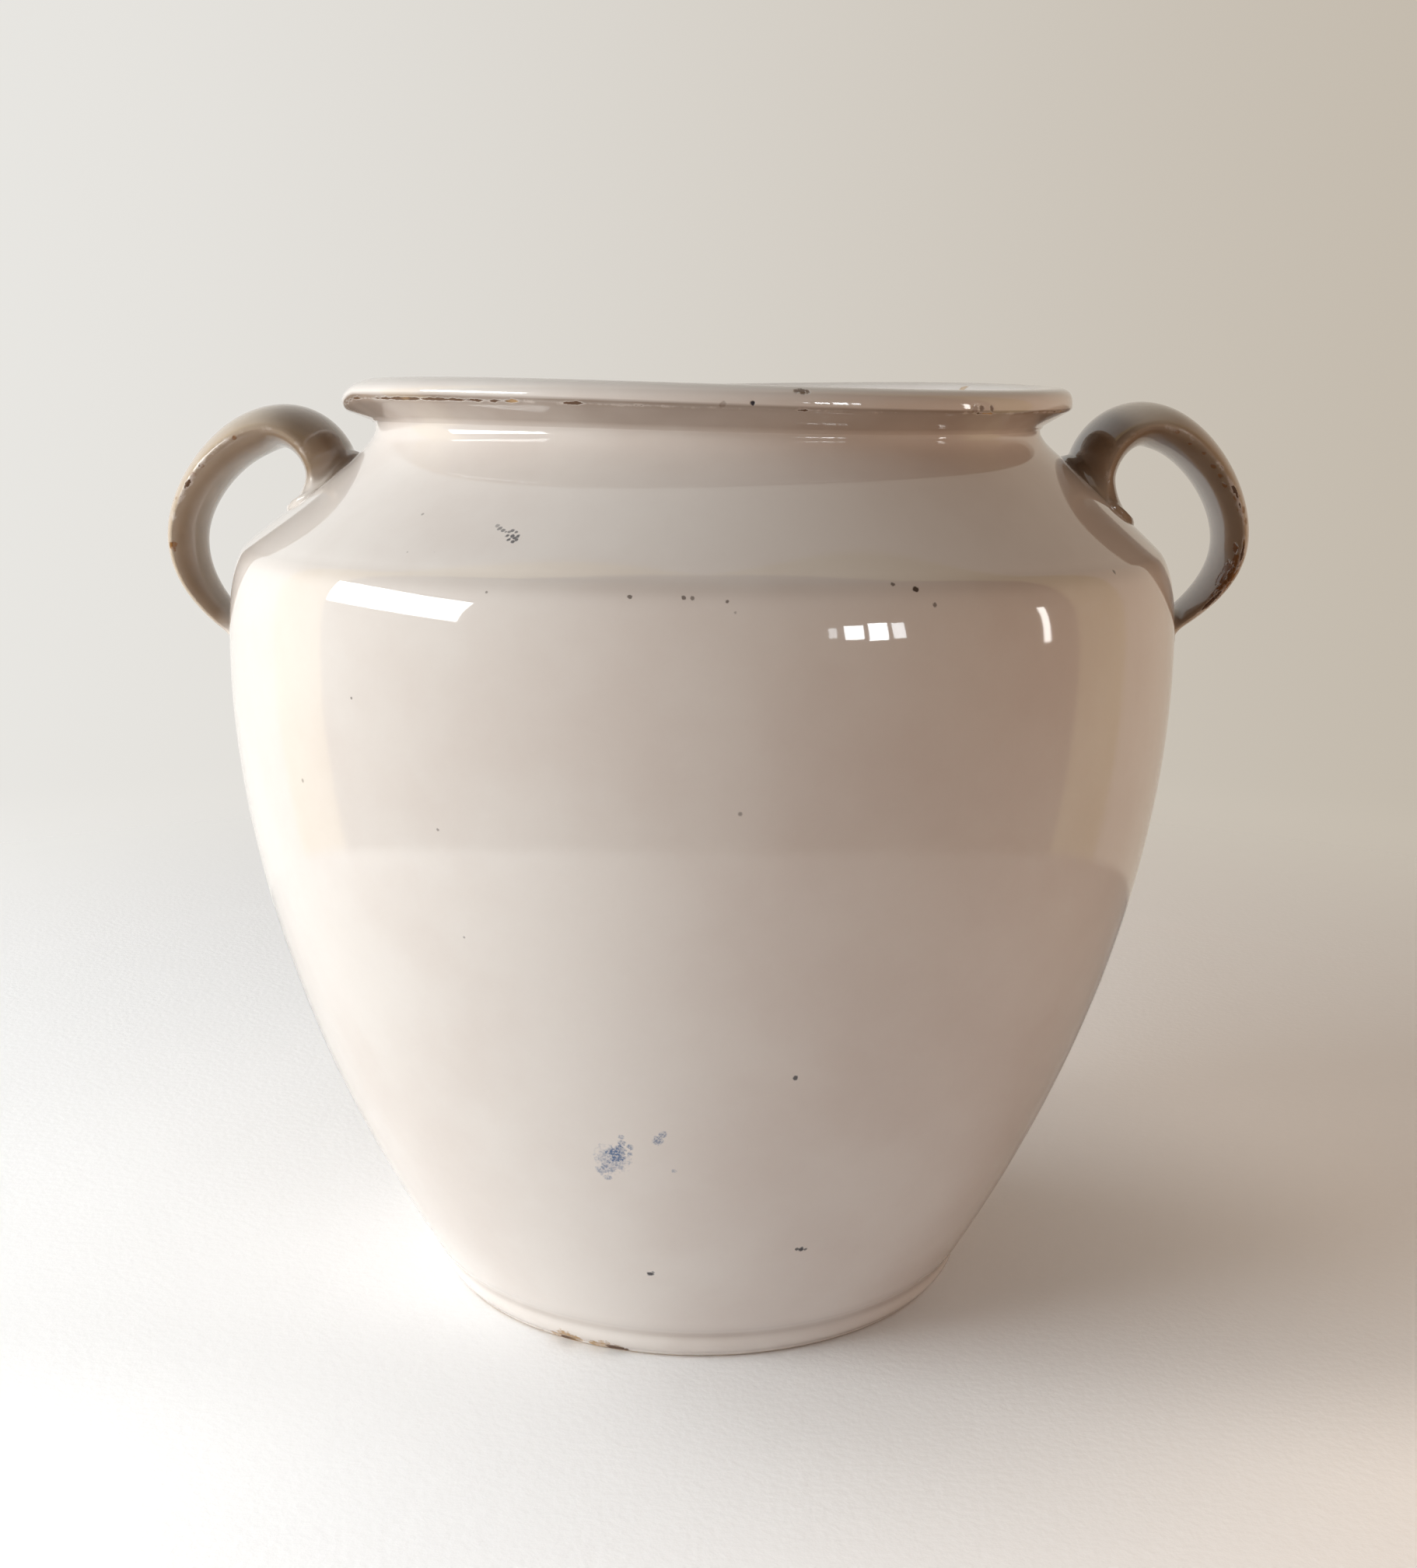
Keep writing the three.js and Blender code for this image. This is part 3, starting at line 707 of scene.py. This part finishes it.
def new_group(name, inputs, outputs):
    """An empty shader node group with named sockets, and its input and output nodes"""
    tree = bpy.data.node_groups.new(name, "ShaderNodeTree")
    for label, kind in inputs:
        tree.interface.new_socket(name=label, in_out="INPUT", socket_type=SOCKETS[kind])
    for label, kind in outputs:
        tree.interface.new_socket(name=label, in_out="OUTPUT", socket_type=SOCKETS[kind])
    return tree, tree.nodes.new("NodeGroupInput").outputs, tree.nodes.new("NodeGroupOutput").inputs


def use_group(tree, group, sockets):
    return put(tree, "Group", {"node_tree": group}, sockets).outputs


def group_named(name, build):
    """The group of that name, built the first time that a material asks for it"""
    return bpy.data.node_groups.get(name) or build(name)


def glaze_tone_group(name):
    """Cloudy tin glaze: thick and thin patches, fine mottling, the stain colour for thin glaze and painted
    shade, and the soft ripple of its surface
    """
    colours = [(label, "colour") for label in ("Thick", "Thin", "Stain")]
    inputs = [("Place", "vector"), *colours, ("Stained", "value")]
    outputs = [("Color", "colour"), ("Roughness", "value"), ("Ripple", "value")]
    tree, given, result = new_group(name, inputs, outputs)
    cloud = noisy(tree, given["Place"], CLOUD_GRAIN, 3, 0.55)
    mottle = noisy(tree, given["Place"], MOTTLE_GRAIN, 2, 0.6)
    share = calc(tree, "MULTIPLY", stepped(tree, cloud, 0.35, 0.72), 0.75)
    share = calc(tree, "MULTIPLY_ADD", mottle, 0.25, share)
    # Stained is the share of the stain colour, for thin glaze and for painted shade
    stained = calc(tree, "MULTIPLY", given["Stained"], calc(tree, "MULTIPLY_ADD", cloud, 1.2, 0.4))
    shade = blended(tree, share, given["Thick"], given["Thin"])
    tree.links.new(blended(tree, stained, shade, given["Stain"]), result["Color"])
    tree.links.new(stepped(tree, cloud, 0.3, 0.75, *GLAZE_ROUGHNESS), result["Roughness"])
    tree.links.new(noisy(tree, given["Place"], RIPPLE_GRAIN, 2, 0.45), result["Ripple"])
    return tree


def specks_group(name):
    """Specks scattered through the glaze, a few of the cells of a random pattern"""
    inputs = [("Place", "vector"), ("Spacing", "value"), ("Share", "value"), ("Size", "value")]
    tree, given, result = new_group(name, inputs, [("Mask", "value")])
    scale = calc(tree, "DIVIDE", 1.0, given["Spacing"])
    cells = put(tree, "TexVoronoi", None, {"Vector": given["Place"], "Scale": scale})
    random = put(tree, "SeparateColor", None, {0: cells.outputs["Color"]}).outputs
    chosen = calc(tree, "LESS_THAN", random[0], given["Share"])
    size = calc(tree, "MULTIPLY", given["Size"], calc(tree, "MULTIPLY_ADD", random[1], 0.8, 0.35))
    size = calc(tree, "MULTIPLY", size, scale)
    near = stepped(tree, calc(tree, "DIVIDE", cells.outputs["Distance"], size), 1.0, 0.45)
    strength = calc(tree, "MULTIPLY_ADD", random[2], 0.6, 0.3)
    tree.links.new(calc(tree, "MULTIPLY", calc(tree, "MULTIPLY", chosen, near), strength), result["Mask"])
    return tree


def chipped_group(name):
    """Where worn edges have lost their glaze: bare clay, fresh or old, its stained border and its depth"""
    inputs = [("Place", "vector"), ("Wear", "value"), ("Grain", "value")]
    outputs = [("Bare", "value"), ("Border", "value"), ("Old", "value"), ("Depth", "value")]
    tree, given, result = new_group(name, inputs, outputs)
    ragged = noisy(tree, given["Place"], given["Grain"], 4, 0.62)
    level = calc(tree, "MULTIPLY_ADD", calc(tree, "SUBTRACT", ragged, 0.5), 2.0, given["Wear"])
    bare = stepped(tree, level, 0.86, 0.92)
    tree.links.new(bare, result["Bare"])
    tree.links.new(stepped(tree, level, 0.42, 0.86), result["Border"])
    tree.links.new(stepped(tree, noisy(tree, given["Place"], AGE_GRAIN, 2), 0.3, 0.48), result["Old"])
    tree.links.new(stepped(tree, level, 0.80, 0.95, 1, 0), result["Depth"])
    return tree


def spot_group(name):
    """A single round mark with a ragged edge"""
    inputs = [("Place", "vector"), ("Centre", "vector"), ("Radius", "value"), ("Ragged", "value")]
    tree, given, result = new_group(name, inputs, [("Mask", "value")])
    ends = {0: given["Place"], 1: given["Centre"]}
    away = put(tree, "VectorMath", {"operation": "DISTANCE"}, ends).outputs["Value"]
    share = calc(tree, "DIVIDE", away, given["Radius"])
    share = calc(tree, "ADD", share, given["Ragged"])
    tree.links.new(stepped(tree, share, 1.15, 0.6), result["Mask"])
    return tree


def spots(tree, place, marks, ragged):
    """The strongest of several marks at a place"""
    total = 0.0
    group = group_named("Spot", spot_group)
    for x, y, z, radius, strength in marks:
        centre = (x * MM, y * MM, z * MM)
        sockets = {"Place": place, "Centre": centre, "Radius": radius * MM, "Ragged": ragged}
        mask = use_group(tree, group, sockets)["Mask"]
        total = calc(tree, "MAXIMUM", total, calc(tree, "MULTIPLY", mask, strength))
    return total


# Marks in the glaze: centre and radius in millimetres, and strength
COBALT = [
    (-19.5, -108.6, 70.6, 4.4, 0.45), (-18.4, -109.4, 72.2, 2.8, 0.95), (-17.4, -110.3, 73.9, 1.7, 0.9),
    (-16.9, -111.2, 75.8, 1.1, 0.6), (-20.4, -107.8, 68.6, 2.6, 0.6), (-22.2, -106.7, 67, 1.6, 0.5),
    (-20.6, -106, 64.7, 1.1, 0.5), (-14.9, -111, 74.9, 0.9, 0.6), (-15.1, -110.1, 72.7, 0.8, 0.6),
    (-16.9, -111.8, 77.8, 0.8, 0.5), (-7.9, -112.7, 77.3, 1.5, 0.6), (-6.8, -113.4, 79.2, 1.1, 0.55),
    (-4, -109.3, 68, 0.7, 0.35),
]
SOOT = [
    (-42.1, -110.4, 224, 0.65, 0.9), (-41.5, -111.2, 223.5, 0.6, 0.9), (-40.8, -110.8, 224, 0.6, 0.9),
    (-43.4, -109.9, 224, 0.6, 0.9), (-42.3, -108.8, 225.1, 0.6, 0.8), (-41.9, -112, 222.9, 0.6, 0.9),
    (-42.9, -111.2, 223.2, 0.6, 0.9), (-41.1, -111.8, 223.2, 0.55, 0.9), (-43, -108.9, 224.8, 0.5, 0.7),
    (-41.3, -109.5, 224.9, 0.55, 0.8), (-43.9, -108.6, 224.8, 0.4, 0.6), (-44.6, -107.9, 225.1, 0.6, 0.7),
    (-45.4, -106.9, 225.5, 0.7, 0.7), (-46.1, -106, 226, 0.6, 0.5),
]
PITS = [
    (27.4, -93, 40.2, 0.6, 0.9), (28.4, -92.6, 40, 0.8, 1), (29.6, -92.1, 39.8, 0.5, 0.8),
    (-10.6, -92.4, 32.4, 0.9, 1), (-9.9, -92.9, 33, 0.5, 0.7), (25.3, -116.5, 95.4, 0.7, 0.9),
    (13, -101.5, 254.6, 0.6, 1),
]
CLAY_CHIPS = [
    (-37.6, -66.2, 1.7, 1.9, 0.9), (-34.6, -68.5, 2.3, 3, 1), (-31.9, -69.7, 2.1, 2.2, 1),
    (-26.4, -71.5, 1.8, 1.9, 1), (-23.5, -72.4, 1.9, 2.6, 1), (-20.6, -73.3, 1.6, 2, 0.9),
    (-41.7, -62.9, 0.6, 0.9, 0.8), (78.7, 45.5, 259.7, 1.8, 0.8),
]
OLD_CHIPS = [
    (6.2, -102.1, 254.2, 0.9, 0.3), (69.3, -76.1, 253.8, 0.9, 0.7), (72.1, -73.4, 253.8, 0.8, 0.7),
    (67.5, -77.5, 253.6, 1.3, 0.35), (23.3, -98.2, 257.3, 0.9, 0.9), (24.5, -97.9, 257.4, 1.2, 0.95),
    (25.8, -97.6, 257.1, 0.9, 0.9),
]
IRON = [
    (-13.9, -129.9, 212.2, 0.6, 0.8), (-1.9, -130.7, 212.2, 0.55, 0.8), (0, -130.7, 212.1, 0.5, 0.7),
    (7.7, -130.7, 211.5, 0.55, 0.8), (9.5, -131, 208.8, 0.5, 0.6), (50.4, -119.9, 213.5, 0.85, 1),
    (45, -121, 214.7, 0.6, 0.8), (54.8, -119.3, 209.9, 0.55, 0.7), (103.4, -77.9, 214.4, 0.7, 0.8),
    (-67.6, -103.2, 219.3, 0.45, 0.7), (-60.6, -106.9, 219.6, 0.45, 0.7), (-46.9, -122, 212.2, 0.4, 0.6),
    (-81.4, -106.3, 185, 0.4, 0.7), (-59.6, -117.9, 155.9, 0.45, 0.6),
]
# Places on the straps where the glaze has worn through, with the same numbers
STRAP_STAINS = [
    (149.6, -16.5, 212.8, 2.2, 1), (148.9, -15.8, 208.5, 2.6, 1), (147.1, -15.1, 205.1, 2.6, 1),
    (145.6, -13.5, 201.7, 2, 1), (146.5, -12.7, 207, 2.4, 1), (149.3, -14.9, 216, 1.6, 1),
    (148, -13, 210.4, 2.2, 1), (149.6, -18.6, 227, 1.2, 0.8), (150.9, -17.6, 223.9, 1, 0.8),
    (147.3, -19.7, 230.2, 1, 0.8), (144.2, -18.7, 233.3, 0.9, 0.9), (142.6, -19.6, 236.1, 0.9, 0.9),
    (140.5, -20.1, 238.6, 0.8, 0.8), (137.5, -21.3, 242.2, 0.7, 0.8), (133.5, -21.3, 244.7, 0.7, 0.9),
    (129.5, -23.3, 247.8, 0.8, 0.7), (-128.6, -23.8, 244.1, 0.7, 0.9), (-138.3, -21.8, 236.4, 0.7, 0.8),
    (-141.1, -21.3, 233.8, 1, 0.7), (-146.5, -18.7, 227.4, 0.8, 0.7), (-148.3, -17.8, 214, 1.4, 1),
]


def marks_group(name):
    """The marks that the body's glaze shows: a smudge of blue, soot, pits, specks of iron, and chips"""
    labels = ("Cobalt", "Soot", "Pits", "Iron", "Clay", "Old clay")
    tree, given, result = new_group(name, [("Place", "vector")], [(label, "value") for label in labels])
    place = given["Place"]
    ragged = calc(tree, "MULTIPLY_ADD", noisy(tree, place, MARK_GRAIN, 3, 0.6), 1.6, -0.8)
    for label, marks in zip(labels[1:], (SOOT, PITS, IRON, CLAY_CHIPS, OLD_CHIPS)):
        tree.links.new(spots(tree, place, marks, ragged), result[label])
    grains = stepped(tree, noisy(tree, place, COBALT_GRAIN, 3, 0.7), 0.42, 0.6, 0.35, 1.25)
    tree.links.new(calc(tree, "MULTIPLY", spots(tree, place, COBALT, ragged), grains), result["Cobalt"])
    return tree


def stains_group(name):
    """Worn places of the straps"""
    tree, given, result = new_group(name, [("Place", "vector")], [("Mask", "value")])
    ragged = calc(tree, "MULTIPLY_ADD", noisy(tree, given["Place"], STAIN_GRAIN, 4, 0.6), 2.4, -1.2)
    tree.links.new(spots(tree, given["Place"], STRAP_STAINS, ragged), result["Mask"])
    return tree


def glaze_material(name, colours, thick, thin, gloss, on_body):
    """Tin glaze over clay. Stored values of the mesh say where it is worn, bare, thin, painted with shade or
    white at a root.
    """
    material = bpy.data.materials.new(name)
    material.use_nodes = True
    tree = material.node_tree
    shader = tree.nodes["Principled BSDF"]
    place = put(tree, "TexCoord").outputs["Object"]
    # The thin values carry thin glaze and painted shade, both drawn in the stain colour
    wear, unglazed, rooted, thin_glaze_and_shade = (
        put(tree, "Attribute", {"attribute_name": label}).outputs["Fac"]
        for label in ("wear", "bare", "root", "thin"))
    tone = use_group(tree, group_named("Glaze tone", glaze_tone_group), {
        "Place": place, "Thick": ink(thick), "Thin": ink(thin), "Stain": ink(colours.stain_and_shade),
        "Stained": thin_glaze_and_shade})
    specks = use_group(tree, group_named("Specks", specks_group), {
        "Place": place, "Spacing": SPECK_SPACING, "Share": SPECK_SHARE, "Size": SPECK_SIZE})
    chips = use_group(tree, group_named("Chipped glaze", chipped_group), {
        "Place": place, "Wear": wear, "Grain": CHIP_GRAIN})
    worn = chips["Bare"]
    shade = blended(tree, calc(tree, "MULTIPLY", rooted, 0.85), tone["Color"], ink(colours.glaze))
    shade = blended(tree, calc(tree, "MULTIPLY", specks["Mask"], 0.7), shade, ink(colours.iron))
    if on_body:
        marks = use_group(tree, group_named("Marks", marks_group), {"Place": place})
        dyes = {"Cobalt": colours.cobalt, "Soot": colours.soot, "Iron": colours.iron, "Pits": colours.soot,
                "Clay": colours.clay, "Old clay": colours.old_clay}
        for label, dye in dyes.items():
            shade = blended(tree, marks[label], shade, ink(dye))
        pits = calc(tree, "MAXIMUM", marks["Pits"], calc(tree, "MAXIMUM", marks["Clay"], marks["Old clay"]))
    else:
        pits = use_group(tree, group_named("Stains", stains_group), {"Place": place})["Mask"]
        shade = blended(tree, pits, shade, ink(colours.worn_clay))
    clay = blended(tree, chips["Old"], ink(colours.clay), ink(colours.old_clay))
    shade = blended(tree, calc(tree, "MULTIPLY", chips["Border"], 0.55), shade, ink(colours.thin_glaze))
    shade = blended(tree, worn, shade, clay)
    shade = blended(tree, unglazed, shade, ink(colours.clay))
    rough = calc(tree, "MAXIMUM", calc(tree, "MULTIPLY", worn, 0.7), unglazed)
    mixed = {0: rough, 2: tone["Roughness"], 3: CLAY_ROUGHNESS}
    roughness = put(tree, "Mix", {"data_type": "FLOAT"}, mixed).outputs[0]
    height = calc(tree, "MULTIPLY_ADD", tone["Ripple"], 0.02, calc(tree, "MULTIPLY", chips["Depth"], 0.5))
    height = calc(tree, "MULTIPLY_ADD", pits, -0.5, height)
    bump = put(tree, "Bump", None, {"Strength": 0.6, "Distance": BUMP_DEPTH, "Height": height})
    tree.links.new(shade, shader.inputs["Base Color"])
    tree.links.new(roughness, shader.inputs["Roughness"])
    tree.links.new(bump.outputs[0], shader.inputs["Normal"])
    shader.inputs["IOR"].default_value = gloss
    return material


# ---------------------------------------------------------------- studio

# The paper, in metres from the pot's middle
PAPER_REACH = 3.0
PAPER_FADE = (0.30, 0.85)       # where it fades into the surroundings for the camera
MIRRORED_EDGE = (0.42, 0.45)    # where the sheet ends that the glaze mirrors
GLOW_RISE = (0.07, 0.24)        # where its glow comes up, away from the pot
GLOW_FRONT = (-0.06, -0.14)     # where that gets stronger, towards the camera
GLOW_SIDES = (-0.1, 0.25)       # where it turns from the left glow into the right one
FIBRE_SHADE = (0.7, 0.69, 0.67)

# The surroundings, as shares of a direction of length 1 that point to the right, to the back and up
SIDES = (-0.55, 0.5)            # from the left shades to the right ones
SCREEN_EDGE = (0.10, 0.15)      # where the screens begin
SURROUND_EDGE = (0.44, 0.48)    # where they end and the pale surroundings begin
OVERHEAD, OVERHEAD_SHARE = (-0.1, 0.8), 0.05    # the soft light falls to this share towards the top

# Lamps: place, width and height in metres, and tint
KEY_LAMP = ((-1.03, -0.45, 0.46), (0.8, 0.6), (0.96, 1, 1))
GLINT_LAMP = ((-1.06, -0.33, 0.54), (0.82, 0.28), (0.97, 1, 1))
SIDE_LAMP = ((-0.95, 0.45, 0.45), (0.62, 0.7), (0.95, 0.98, 1))
STRIP_LAMP = ((1.5, -0.2, 0.38), (0.06, 0.34), (1, 0.97, 0.93))
GLINT_SHARE = 0.55              # of the key light's power
STRIP_POWER = 0.55              # watts
LAMP_TARGET = (0, 0, 0.13)
# Lamp of four panes in a row: place along the row, width and height in metres, and watts to the square metre
PANES = [(-0.22, 0.05, 0.12, 14), (-0.09, 0.12, 0.16, 34), (0.06, 0.12, 0.20, 40), (0.19, 0.08, 0.18, 24)]
PANES_MIDDLE, PANES_ROW, PANES_TINT = (0.95, -1.25, 0.47), (0.80, 0.61, 0), (0.93, 0.97, 1)

SENSOR_WIDTH = 36       # millimetres


def floor_material(studio):
    """Matt paper that fades into the surroundings. The glaze mirrors only the sheet round the pot."""
    material = bpy.data.materials.new("paper")
    material.use_nodes = True
    tree = material.node_tree
    shader = tree.nodes["Principled BSDF"]
    place = put(tree, "TexCoord").outputs["Object"]
    grain = noisy(tree, place, PAPER_GRAIN, 3)
    shade = blended(tree, calc(tree, "MULTIPLY", grain, 0.1), ink(studio.floor_colour), ink(FIBRE_SHADE))
    tree.links.new(shade, shader.inputs["Base Color"])
    shader.inputs["Roughness"].default_value = PAPER_ROUGHNESS
    fibre = noisy(tree, place, FIBRE_GRAIN, 4, 0.6)
    bump = put(tree, "Bump", None, {"Strength": 0.35, "Distance": BUMP_DEPTH, "Height": fibre})
    tree.links.new(bump.outputs[0], shader.inputs["Normal"])
    away = put(tree, "VectorMath", {"operation": "LENGTH"}, {0: place}).outputs["Value"]
    seen = put(tree, "LightPath").outputs["Is Camera Ray"]
    ends = {0: seen, 2: stepped(tree, away, *MIRRORED_EDGE), 3: stepped(tree, away, *PAPER_FADE)}
    gone = put(tree, "Mix", {"data_type": "FLOAT"}, ends).outputs[0]
    across, back, _ = put(tree, "SeparateXYZ", None, {0: place}).outputs
    strength = calc(tree, "MULTIPLY", seen, stepped(tree, away, *GLOW_RISE, 0.25, 1.0))
    strength = calc(tree, "MULTIPLY", strength, stepped(tree, back, *GLOW_FRONT, 1.0, 1.8))
    tint = blended(tree, stepped(tree, across, *GLOW_SIDES), ink(studio.left_glow), ink(studio.right_glow))
    glow = put(tree, "Emission", None, {"Color": tint, "Strength": strength})
    lit = put(tree, "AddShader", None, {0: shader.outputs[0], 1: glow.outputs[0]})
    clear = put(tree, "BsdfTransparent")
    mix = put(tree, "MixShader", None, {0: gone, 1: lit.outputs[0], 2: clear.outputs[0]})
    tree.links.new(mix.outputs[0], tree.nodes["Material Output"].inputs["Surface"])
    return material


def light_surroundings(studio):
    """The world: pale for the camera, pale and dark where the glaze mirrors it, and soft light besides"""
    world = bpy.data.worlds.new("surroundings")
    bpy.context.scene.world = world
    world.use_nodes = True
    tree = world.node_tree
    way = put(tree, "TexCoord").outputs["Generated"]
    right, back, up = put(tree, "SeparateXYZ", None, {0: way}).outputs
    paths = put(tree, "LightPath").outputs

    def to_the_right(left_shade, right_shade):
        return blended(tree, stepped(tree, right, *SIDES), ink(left_shade), ink(right_shade))

    def vector(operation, sockets):
        return put(tree, "VectorMath", {"operation": operation}, sockets).outputs

    def scaled(shade, amount):
        return vector("SCALE", {0: shade, "Scale": amount})[0]

    surround = to_the_right(studio.bright_side, studio.dim_side)
    level = put(tree, "CombineXYZ", None, {0: right, 1: back}).outputs[0]
    behind = calc(tree, "DIVIDE", back, vector("LENGTH", {0: level})["Value"])
    front = to_the_right(studio.front_left, studio.front_right)
    screens = to_the_right(studio.left_screen, studio.right_screen)
    mirrored = blended(tree, stepped(tree, behind, *SCREEN_EDGE), front, screens)
    mirrored = blended(tree, stepped(tree, behind, *SURROUND_EDGE), mirrored, surround)
    from_back = scaled(studio.back_fill, calc(tree, "MAXIMUM", back, 0.0))
    from_right = scaled(studio.warm_fill, calc(tree, "MAXIMUM", right, 0.0))
    soft = vector("ADD", {0: vector("ADD", {0: from_back, 1: from_right})[0], 1: studio.ground_fill})[0]
    soft = scaled(soft, stepped(tree, up, *OVERHEAD, 1.0, OVERHEAD_SHARE))
    seen = blended(tree, paths["Is Diffuse Ray"], mirrored, soft)
    seen = blended(tree, paths["Is Camera Ray"], seen, surround)
    tree.links.new(seen, tree.nodes["Background"].inputs["Color"])


def lamp(name, place, size, tint, watts):
    """An area lamp that looks at the pot and that the camera doesn't see"""
    data = bpy.data.lights.new(name, "AREA")
    data.shape = "RECTANGLE"
    data.size, data.size_y = size
    data.energy = watts
    data.color = tint
    light = bpy.data.objects.new(name, data)
    light.location = place
    light.rotation_euler = (Vector(LAMP_TARGET) - Vector(place)).to_track_quat("-Z", "Y").to_euler()
    light.visible_camera = False
    bpy.context.scene.collection.objects.link(light)
    return light


def set_camera(studio):
    """The camera, turned by its pitch, heading and roll"""
    pitch, heading, roll = studio.pitch, studio.heading, studio.roll
    flat = math.cos(pitch)
    ahead = Vector((math.sin(heading) * flat, math.cos(heading) * flat, -math.sin(pitch)))
    right = Vector((math.cos(heading), -math.sin(heading), 0))
    up = right.cross(ahead)
    turned_right = math.cos(roll) * right + math.sin(roll) * up
    turned_up = -math.sin(roll) * right + math.cos(roll) * up
    data = bpy.data.cameras.new("camera")
    data.lens = studio.lens
    data.sensor_width = SENSOR_WIDTH
    data.clip_start, data.clip_end = 0.01, 50
    camera = bpy.data.objects.new("camera", data)
    axes = Matrix((turned_right, turned_up, -ahead)).transposed().to_4x4()
    camera.matrix_world = Matrix.Translation(Vector(studio.camera_place)) @ axes
    bpy.context.scene.collection.objects.link(camera)
    bpy.context.scene.camera = camera


# ---------------------------------------------------------------- operators and panel

class POT_OT_studio(bpy.types.Operator):
    """Sets the camera, the paper, the lamps and the surroundings"""
    bl_idname = "pot.studio"
    bl_label = "Set up the studio"

    def execute(self, context):
        studio = context.scene.pot_studio
        set_camera(studio)
        mesh = bpy.data.meshes.new("paper")
        corners = [(x * PAPER_REACH, y * PAPER_REACH, 0) for x, y in ((-1, -1), (1, -1), (1, 1), (-1, 1))]
        mesh.from_pydata(corners, [], [(0, 1, 2, 3)])
        mesh.materials.append(floor_material(studio))
        paper = bpy.data.objects.new("paper", mesh)
        context.scene.collection.objects.link(paper)
        lamp("key", *KEY_LAMP, studio.key_power).visible_glossy = False
        lamp("key_glint", *GLINT_LAMP, GLINT_SHARE * studio.key_power).visible_diffuse = False
        lamp("side", *SIDE_LAMP, studio.side_power).visible_glossy = False
        for along, width, height, strength in PANES:
            place = [middle + along * row for middle, row in zip(PANES_MIDDLE, PANES_ROW)]
            lamp("pane", place, (width, height), PANES_TINT, strength * width * height)
        lamp("strip", *STRIP_LAMP, STRIP_POWER)
        light_surroundings(studio)
        context.scene.view_settings.view_transform = "Standard"
        return {"FINISHED"}


class POT_OT_body(bpy.types.Operator):
    """Turns the body with its foot, belly, shoulder, neck and lip"""
    bl_idname = "pot.body"
    bl_label = "Turn the body"

    def execute(self, context):
        sizes, colours = context.scene.pot_body, context.scene.pot_glaze
        material = glaze_material(
            "body_glaze", colours, colours.glaze, colours.thin_glaze, BODY_GLOSS, True)
        mesh_piece("thrown_body", *body_mesh(sizes), material, "body_glaze", "body")
        return {"FINISHED"}


class POT_OT_straps(bpy.types.Operator):
    """Pulls the two straps and flares their roots into the body"""
    bl_idname = "pot.straps"
    bl_label = "Pull the straps"

    def execute(self, context):
        scene, colours = context.scene, context.scene.pot_glaze
        material = glaze_material(
            "strap_glaze", colours, colours.strap_glaze, colours.thin_strap_glaze, STRAP_GLOSS, False)
        for name, sizes, side in (("left", scene.pot_left_strap, -1), ("right", scene.pot_right_strap, 1)):
            nodes = (f"handle_{name}", f"luting_upper_{name}", f"luting_lower_{name}")
            parts = strap_mesh(sizes, scene.pot_body, side)
            mesh_piece(f"strap_{name}", *parts, material, "handle_glaze", *nodes)
        return {"FINISHED"}


class POT_PT_panel(bpy.types.Panel):
    """Lists the pot's sizes and colours and the steps that make it"""
    bl_idname = "POT_PT_panel"
    bl_label = "Storage pot"
    bl_space_type = "VIEW_3D"
    bl_region_type = "UI"
    bl_category = "Pot"

    def draw(self, context):
        for operator in OPERATORS:
            self.layout.operator(operator.bl_idname)
        for name, group in SETTINGS.items():
            box = self.layout.box()
            box.label(text=group.__doc__.split(".")[0])
            for label in group.__annotations__:
                box.prop(getattr(context.scene, name), label)


OPERATORS = (POT_OT_studio, POT_OT_body, POT_OT_straps)
SETTINGS = {
    "pot_body": BodySizes,
    "pot_left_strap": LeftStrapSizes,
    "pot_right_strap": RightStrapSizes,
    "pot_glaze": GlazeColours,
    "pot_studio": StudioSettings,
}


def register():
    for group in SETTINGS.values():
        bpy.utils.register_class(group)
    for name, group in SETTINGS.items():
        setattr(bpy.types.Scene, name, bpy.props.PointerProperty(type=group))
    for operator in (*OPERATORS, POT_PT_panel):
        bpy.utils.register_class(operator)


def unregister():
    for operator in (POT_PT_panel, *reversed(OPERATORS)):
        bpy.utils.unregister_class(operator)
    for name, group in reversed(SETTINGS.items()):
        delattr(bpy.types.Scene, name)
        bpy.utils.unregister_class(group)


def main():
    register()
    bpy.ops.pot.studio()
    bpy.ops.pot.body()
    bpy.ops.pot.straps()


if __name__ == "__main__":
    main()
